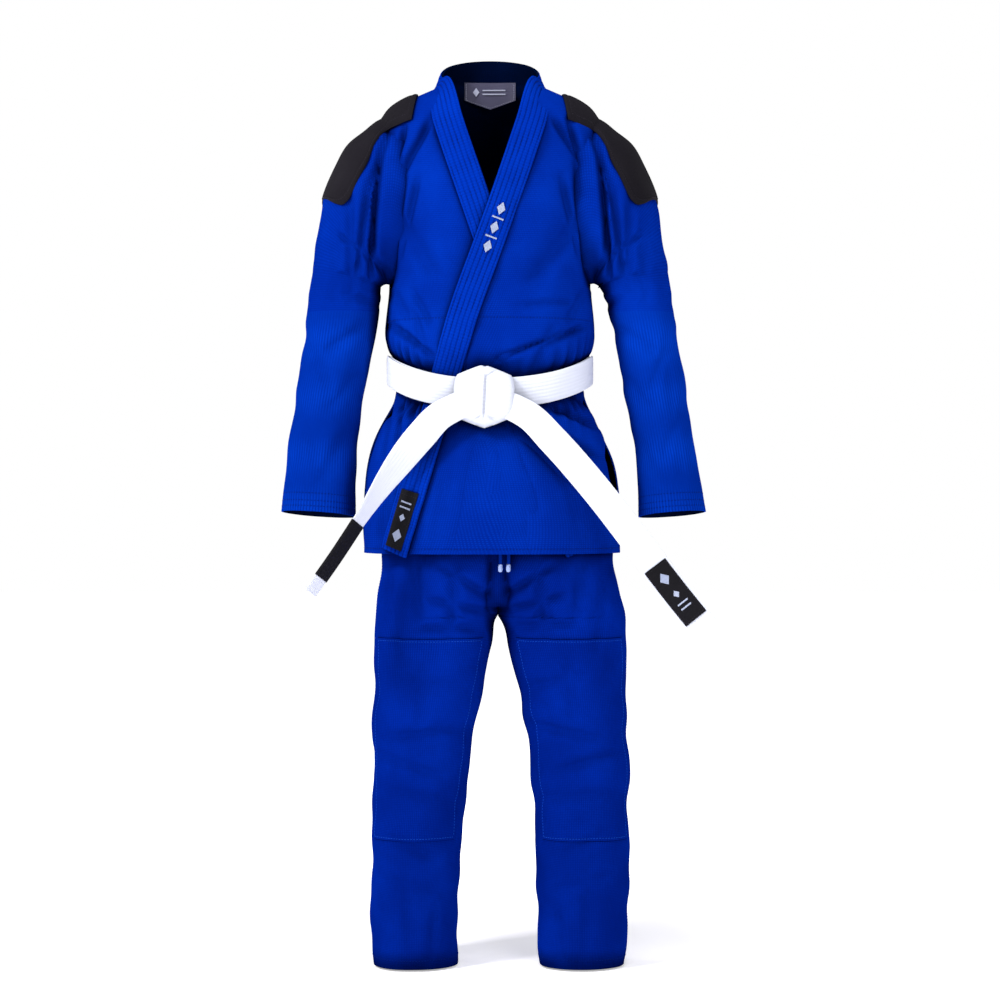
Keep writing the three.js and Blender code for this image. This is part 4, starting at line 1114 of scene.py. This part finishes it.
def patch_on(name, line, across, face, cells, half, above, body, node, marks):
    """A woven patch on a strap: it follows the strap's line for some cells, lies on its
    face, and is sewn down along its edge. Its marks are plates of pale thread."""
    a = np.linspace(-half, half, 24)
    crown = 0.9 + 0.4 * np.maximum(1 - np.abs(a / half) ** 8, 0)
    place = line[cells, None] + a[None, :, None] * across[cells, None]
    outer = place + (above + crown)[None, :, None] * face[cells, None]
    inner = place + above * face[cells, None]
    part = shell(outer, inner, slots=(0, 0))
    out = np.broadcast_to(face[cells, None], outer.shape)
    around = [(slice(2, -2), 1), (-3, slice(1, -1)), (slice(-3, 1, -1), -2), (2, slice(-2, 0, -1))]
    loop = np.concatenate([outer[w] for w in around])
    part = join(
        part, stitches(loop, np.concatenate([out[w] for w in around]), 3.8, 2.6, 0.7, 0.3, 1)
    )
    middle = (cells.start + cells.stop) // 2
    spot = line[middle] + (above + 1.3) * face[middle]
    down_strap = unit(line[cells.stop] - line[cells.start])
    plates = [plate(m, spot, across[middle], down_strap, face[middle], 0.4, 2) for m in marks]
    piece = make(name, join(part, *plates), black_satin, grey_stitch, grey_thread)
    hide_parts(node)
    if body:
        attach(piece, body)
    return piece


plain_marks = [
    diamond(0, -26, 8, 10), diamond(0, 2, 5, 6),
    [(-9, 16), (9, 16), (9, 18.4), (-9, 18.4)], [(-9, 24), (9, 24), (9, 26.4), (-9, 26.4)],
]
line, across, face = tails["left"]
first, last = np.searchsorted(run, [(291 + 52) / 463, (391 + 52) / 463])
patch_on(
    "belt_label", line, across, face, slice(first, last), 19, 1.9, "left_tail", "belt_label", plain_marks
)
# The lapel patch sits on the left lapel, just above the hem.
near_hem = slice(*np.searchsorted(band[:260, 2], [-694, -604]))
along_lapel = unit(np.gradient(band, axis=0))
outward = turning[:, 3:] - along_lapel * np.sum(turning[:, 3:] * along_lapel, -1, keepdims=True)
outward = unit(outward)
right = np.cross(along_lapel, outward)
lapel_patch = patch_on(
    "lapel_patch", band, right, outward, near_hem, 14.5, 3.6, None, "lapel_patch", plain_marks
)
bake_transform(lapel_patch)

# ---- Trousers ----------------------------------------------------------------------
# Straight trousers of smooth cotton drill. Each half is cut in one piece from waist to
# hem, is joined to the other along the crotch, and has an outer and an inner leg seam.
# Cotton drill: a smooth slanting twill, flatter than the jacket's weave.
drill = woven(
    "cotton_drill", "#0135bd", "#01186e", 2.6, 2.6, relief=0.25, twill=0.2, uneven=0.35, shade=2.2
)
# The inside of the legs: the same drill in deep shade.
drill_inside = woven("shaded_drill_inside", "#020b34", "#010519", 2.6, 2.6, relief=0.4)
# Paler thread, which outlines the knee patches.
seam_thread = woven("pale_blue_seam_thread", "#2f62dc", "#1746b8", 1.2, 1.2, relief=0.2)
trouser_middle = 12
waist_low, hip_split, hem_low = -474, -905, -1335
lower_legs = {
    1: [[-797, 98, 99, 105], [-846, 108, 92, 98], [-921, 117, 83, 88], [-995, 124, 78, 81],
        [-1069, 128, 75, 77], [-1144, 130.5, 74, 74], [-1218, 131, 71.5, 72], [-1335, 130, 66, 68]],
    -1: [[-797, 94, 95, 105], [-846, 99.5, 90.5, 98], [-921, 108, 84, 88], [-995, 116, 77, 81],
         [-1069, 121, 73, 77], [-1144, 125, 70, 74], [-1218, 128, 67.5, 72], [-1335, 128, 65.5, 68]],
}
leg_rows = {  # height, middle from the trousers' own middle, half width, half depth
    hand: [[-474, -6, 126, 88], [-494, -6, 129, 90], [-570, -2, 164, 110], [-640, 4, 172, 116],
           [-690, 22, 157, 119], [-745, 66, 119, 116], *lower]
    for hand, lower in lower_legs.items()
}
leg_creases = {
    1: [
        (16, -770, 96, -716, 10, 3.4), (20, -790, 120, -762, 9, 2.8), (40, -812, 140, -806, 9, 2.2),
        (70, -705, 84, -830, 12, 3.0), (140, -700, 132, -800, 13, 2.4),
        (178, -720, 160, -850, 12, 2.2),
        (60, -905, 150, -880, 14, 1.8), (62, -960, 180, -985, 12, 2.2),
        (198, -1000, 90, -1035, 12, 2.0),
        (72, -1075, 196, -1062, 14, 1.8), (190, -1120, 96, -1165, 14, 1.8),
        (86, -1215, 190, -1190, 15, 1.6),
        (120, -850, 128, -960, 15, 1.8), (150, -1180, 146, -1310, 14, 1.8),
        (100, -1240, 108, -1325, 11, 1.6),
    ],
    -1: [
        (8, -772, -74, -720, 10, 3.2), (4, -792, -96, -768, 9, 2.6),
        (-16, -814, -116, -812, 9, 2.2),
        (-50, -704, -58, -826, 12, 3.0), (-116, -700, -106, -810, 13, 2.6),
        (-160, -716, -142, -850, 12, 2.4),
        (-36, -900, -130, -884, 14, 1.8), (-40, -966, -160, -980, 12, 2.0),
        (-176, -1004, -70, -1040, 12, 2.0),
        (-50, -1080, -172, -1058, 14, 1.8), (-168, -1126, -76, -1170, 14, 1.8),
        (-64, -1220, -170, -1196, 15, 1.6),
        (-98, -860, -106, -970, 15, 1.8), (-128, -1180, -122, -1310, 14, 1.8),
        (-82, -1236, -90, -1325, 11, 1.6),
    ],
}


def leg_skin(hand, z, turn, grow=0.0):
    """A level ring of one half of the trousers. The turn is 0 at the outer side and a
    quarter turn in front."""
    middle, half, depth = np.moveaxis(smooth(leg_rows[hand], z), -1, 0)
    x = trouser_middle + hand * (middle + (half + grow) * bent(np.cos(turn), squareness))
    y = -(depth + grow) * bent(np.sin(turn), squareness)
    return np.stack([x, y, z + 0 * x], -1)


rows_down, columns = 250, 121
half_lap = 0.15  # how far each half reaches past the middle at the crotch seam
for side, hand in (("left", 1), ("right", -1)):
    z = np.linspace(waist_low, hem_low, rows_down)[:, None]
    middle, half, _ = np.moveaxis(smooth(leg_rows[hand], z[:, 0]), -1, 0)
    cut = np.clip(-(middle - half_lap) / half, -1, 1)
    closed = int(np.argmax(middle >= half))
    cut[closed:] = -1
    cut_turn = np.arccos(np.sign(cut) * np.abs(cut) ** (squareness / 2))[:, None]
    turn = cut_turn * np.linspace(1, -1, columns)[None]
    grid = leg_skin(hand, z, turn)
    swell = 1.7 * drape(np.cos(turn) * 80 + 0 * z, z, 120, 91 + hand)
    swell = swell + 1.1 * drape(np.sin(turn) * 70, z, 66, 95 + hand)
    swell = swell - 1.3 * grooves(grid, leg_creases[hand], True) - grooves(grid, leg_creases[hand], False)
    centre_fold = 15.0 * np.exp(-(((grid[..., 0] - trouser_middle) / 13) ** 2)) * ease(z, -650, -735)
    swell = swell - centre_fold * ease(z, -800, -770)
    keep = ease(np.abs(grid[..., 0] - trouser_middle), 0, 10) + ease(z, -790, -830)
    swell = swell * np.clip(keep, 0, 1) - centre_fold * 0.4 * (z > -790)
    swell = swell + 1.4 * ease(z, hem_low + 70, hem_low) * np.sin(turn * 3 + hand)
    axis = np.concatenate(
        [trouser_middle + hand * middle[:, None, None], 0 * z[..., None], z[..., None]], -1
    )
    outward = normals(grid, axis)
    outer = grid + outward * swell[..., None]
    outer[closed:, -1] = outer[closed:, 0]
    # The two halves meet in one plane along the crotch seam.
    outer[:closed, [0, -1], 0] = trouser_middle - hand * half_lap
    outward = normals(outer, axis)
    seam_normal = unit(outward[closed:, 0] + outward[closed:, -1])
    outward[closed:, 0] = outward[closed:, -1] = seam_normal
    inner = outer - 1.8 * outward
    inner[:closed, [0, -1], 0] = trouser_middle - hand * half_lap
    uv = lengths(grid)
    split_row = int(np.argmin(np.abs(z[:, 0] - hip_split)))

    up = slice(0, split_row + 1)
    part = shell(outer[up], inner[up], closed, uv[up])
    seams = (columns // 2, columns // 2 + 2)
    sewn = [stitches(outer[up, k], outward[up, k], 4.6, 3.1, 0.7, 0.3) for k in seams]
    hips = make(
        f"{side}_hip_and_thigh", join(part, *sewn), drill, drill_inside, blue_thread, sharp=70
    )
    gusset = ["crotch_gusset", "seat"] if hand > 0 else []
    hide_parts(f"{side}_hip_fold", f"{side}_thigh", *gusset)
    start = ((trouser_middle + hand * 23) / 1000, 0, -0.735)
    end = ((trouser_middle + hand * 83) / 1000, 0, -0.855)
    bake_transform(hips)

    low = slice(split_row, rows_down)
    part = shell(outer[low], inner[low], 0, uv[low])
    hem_row = int(np.argmin(np.abs(z[:, 0] - hem_low - 14)))
    sewn = [stitches(outer[low, k], outward[low, k], 4.6, 3.1, 0.7, 0.3) for k in seams]
    sewn.append(stitches(outer[hem_row], outward[hem_row], 4.6, 3.1, 0.8, 0.3))
    shin = make(
        f"{side}_knee_and_shin", join(part, *sewn), drill, drill_inside, blue_thread, sharp=70
    )
    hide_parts(f"{side}_knee_fold", f"{side}_shin")
    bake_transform(shin)

    # The knee patch: a second layer of drill over the front of the knee, edge-stitched.
    over = slice(int(np.argmin(np.abs(z[:, 0] + 829))), int(np.argmin(np.abs(z[:, 0] + 1140))))
    wide = slice(12, 52)
    out = outward[over, wide]
    patch_outer = outer[over, wide] + out * 1.3
    patch_inner = outer[over, wide] + out * 0.2
    part = shell(patch_outer, patch_inner, None, uv[over, wide], (0, 0))
    around = [(slice(1, -1), 1), (-2, slice(1, -1)), (slice(-2, 0, -1), -2), (1, slice(-2, 0, -1))]
    sewn = [stitches(patch_outer[w], out[w], 4.6, 3.1, 0.8, 0.3, 1) for w in around]
    patch = make(f"{side}_knee_patch", join(part, *sewn), drill, seam_thread)
    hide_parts(f"{side}_knee_patch")
    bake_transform(patch)

    # The hem's facing: a strip of the same drill turned up inside the leg. It wears the inside's
    # near-black colour as painted shade.
    fall = np.linspace(0, 1, 6)[:, None]
    ring_turn = np.linspace(np.pi, -np.pi, 97)[None]
    strip = leg_skin(hand, hem_low + 1.5 + 13 * (1 - fall), ring_turn, -3.4)
    strip_axis = np.array([trouser_middle + hand * 129.0, 0, hem_low])
    part, _, _ = walled(strip, strip_axis, 1.2, 0.0, 0, (0, 0))
    facing_strip = make(f"{side}_hem_facing", part, drill_inside)
    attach(facing_strip, f"{side}_shin")
    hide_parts(f"{side}_hem_tape")

# The waistband: a folded casing for the drawcord, gathered and stitched top and bottom.
turn = np.linspace(0, 2 * np.pi, 181)[None]
rise = np.linspace(0, 1, 26)[:, None]
band_z = -437.2 - 37 * rise
half = 121 + 8.5 * rise
ripple = 1.1 * np.sin(turn * 26) * np.sin(np.pi * rise) + 0.6 * np.sin(turn * 11 + 1)
band_x = 6 + (half + ripple) * bent(np.cos(turn), squareness)
band_y = -(half * 0.705 + ripple) * bent(np.sin(turn), squareness)
grid = np.stack([band_x, band_y, band_z + 0 * turn], -1)
part, outer, outward = walled(grid, np.array([6, 0, -456]), 3.2, 0.0, 0, (0, 0))
sewn = [stitches(outer[r], outward[r], 4.6, 3.1, 0.8, 0.3, 1) for r in (3, -4)]
waistband = make("waistband", join(part, *sewn), drill, blue_thread, sharp=70)
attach(waistband, "trousers")
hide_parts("waistband")
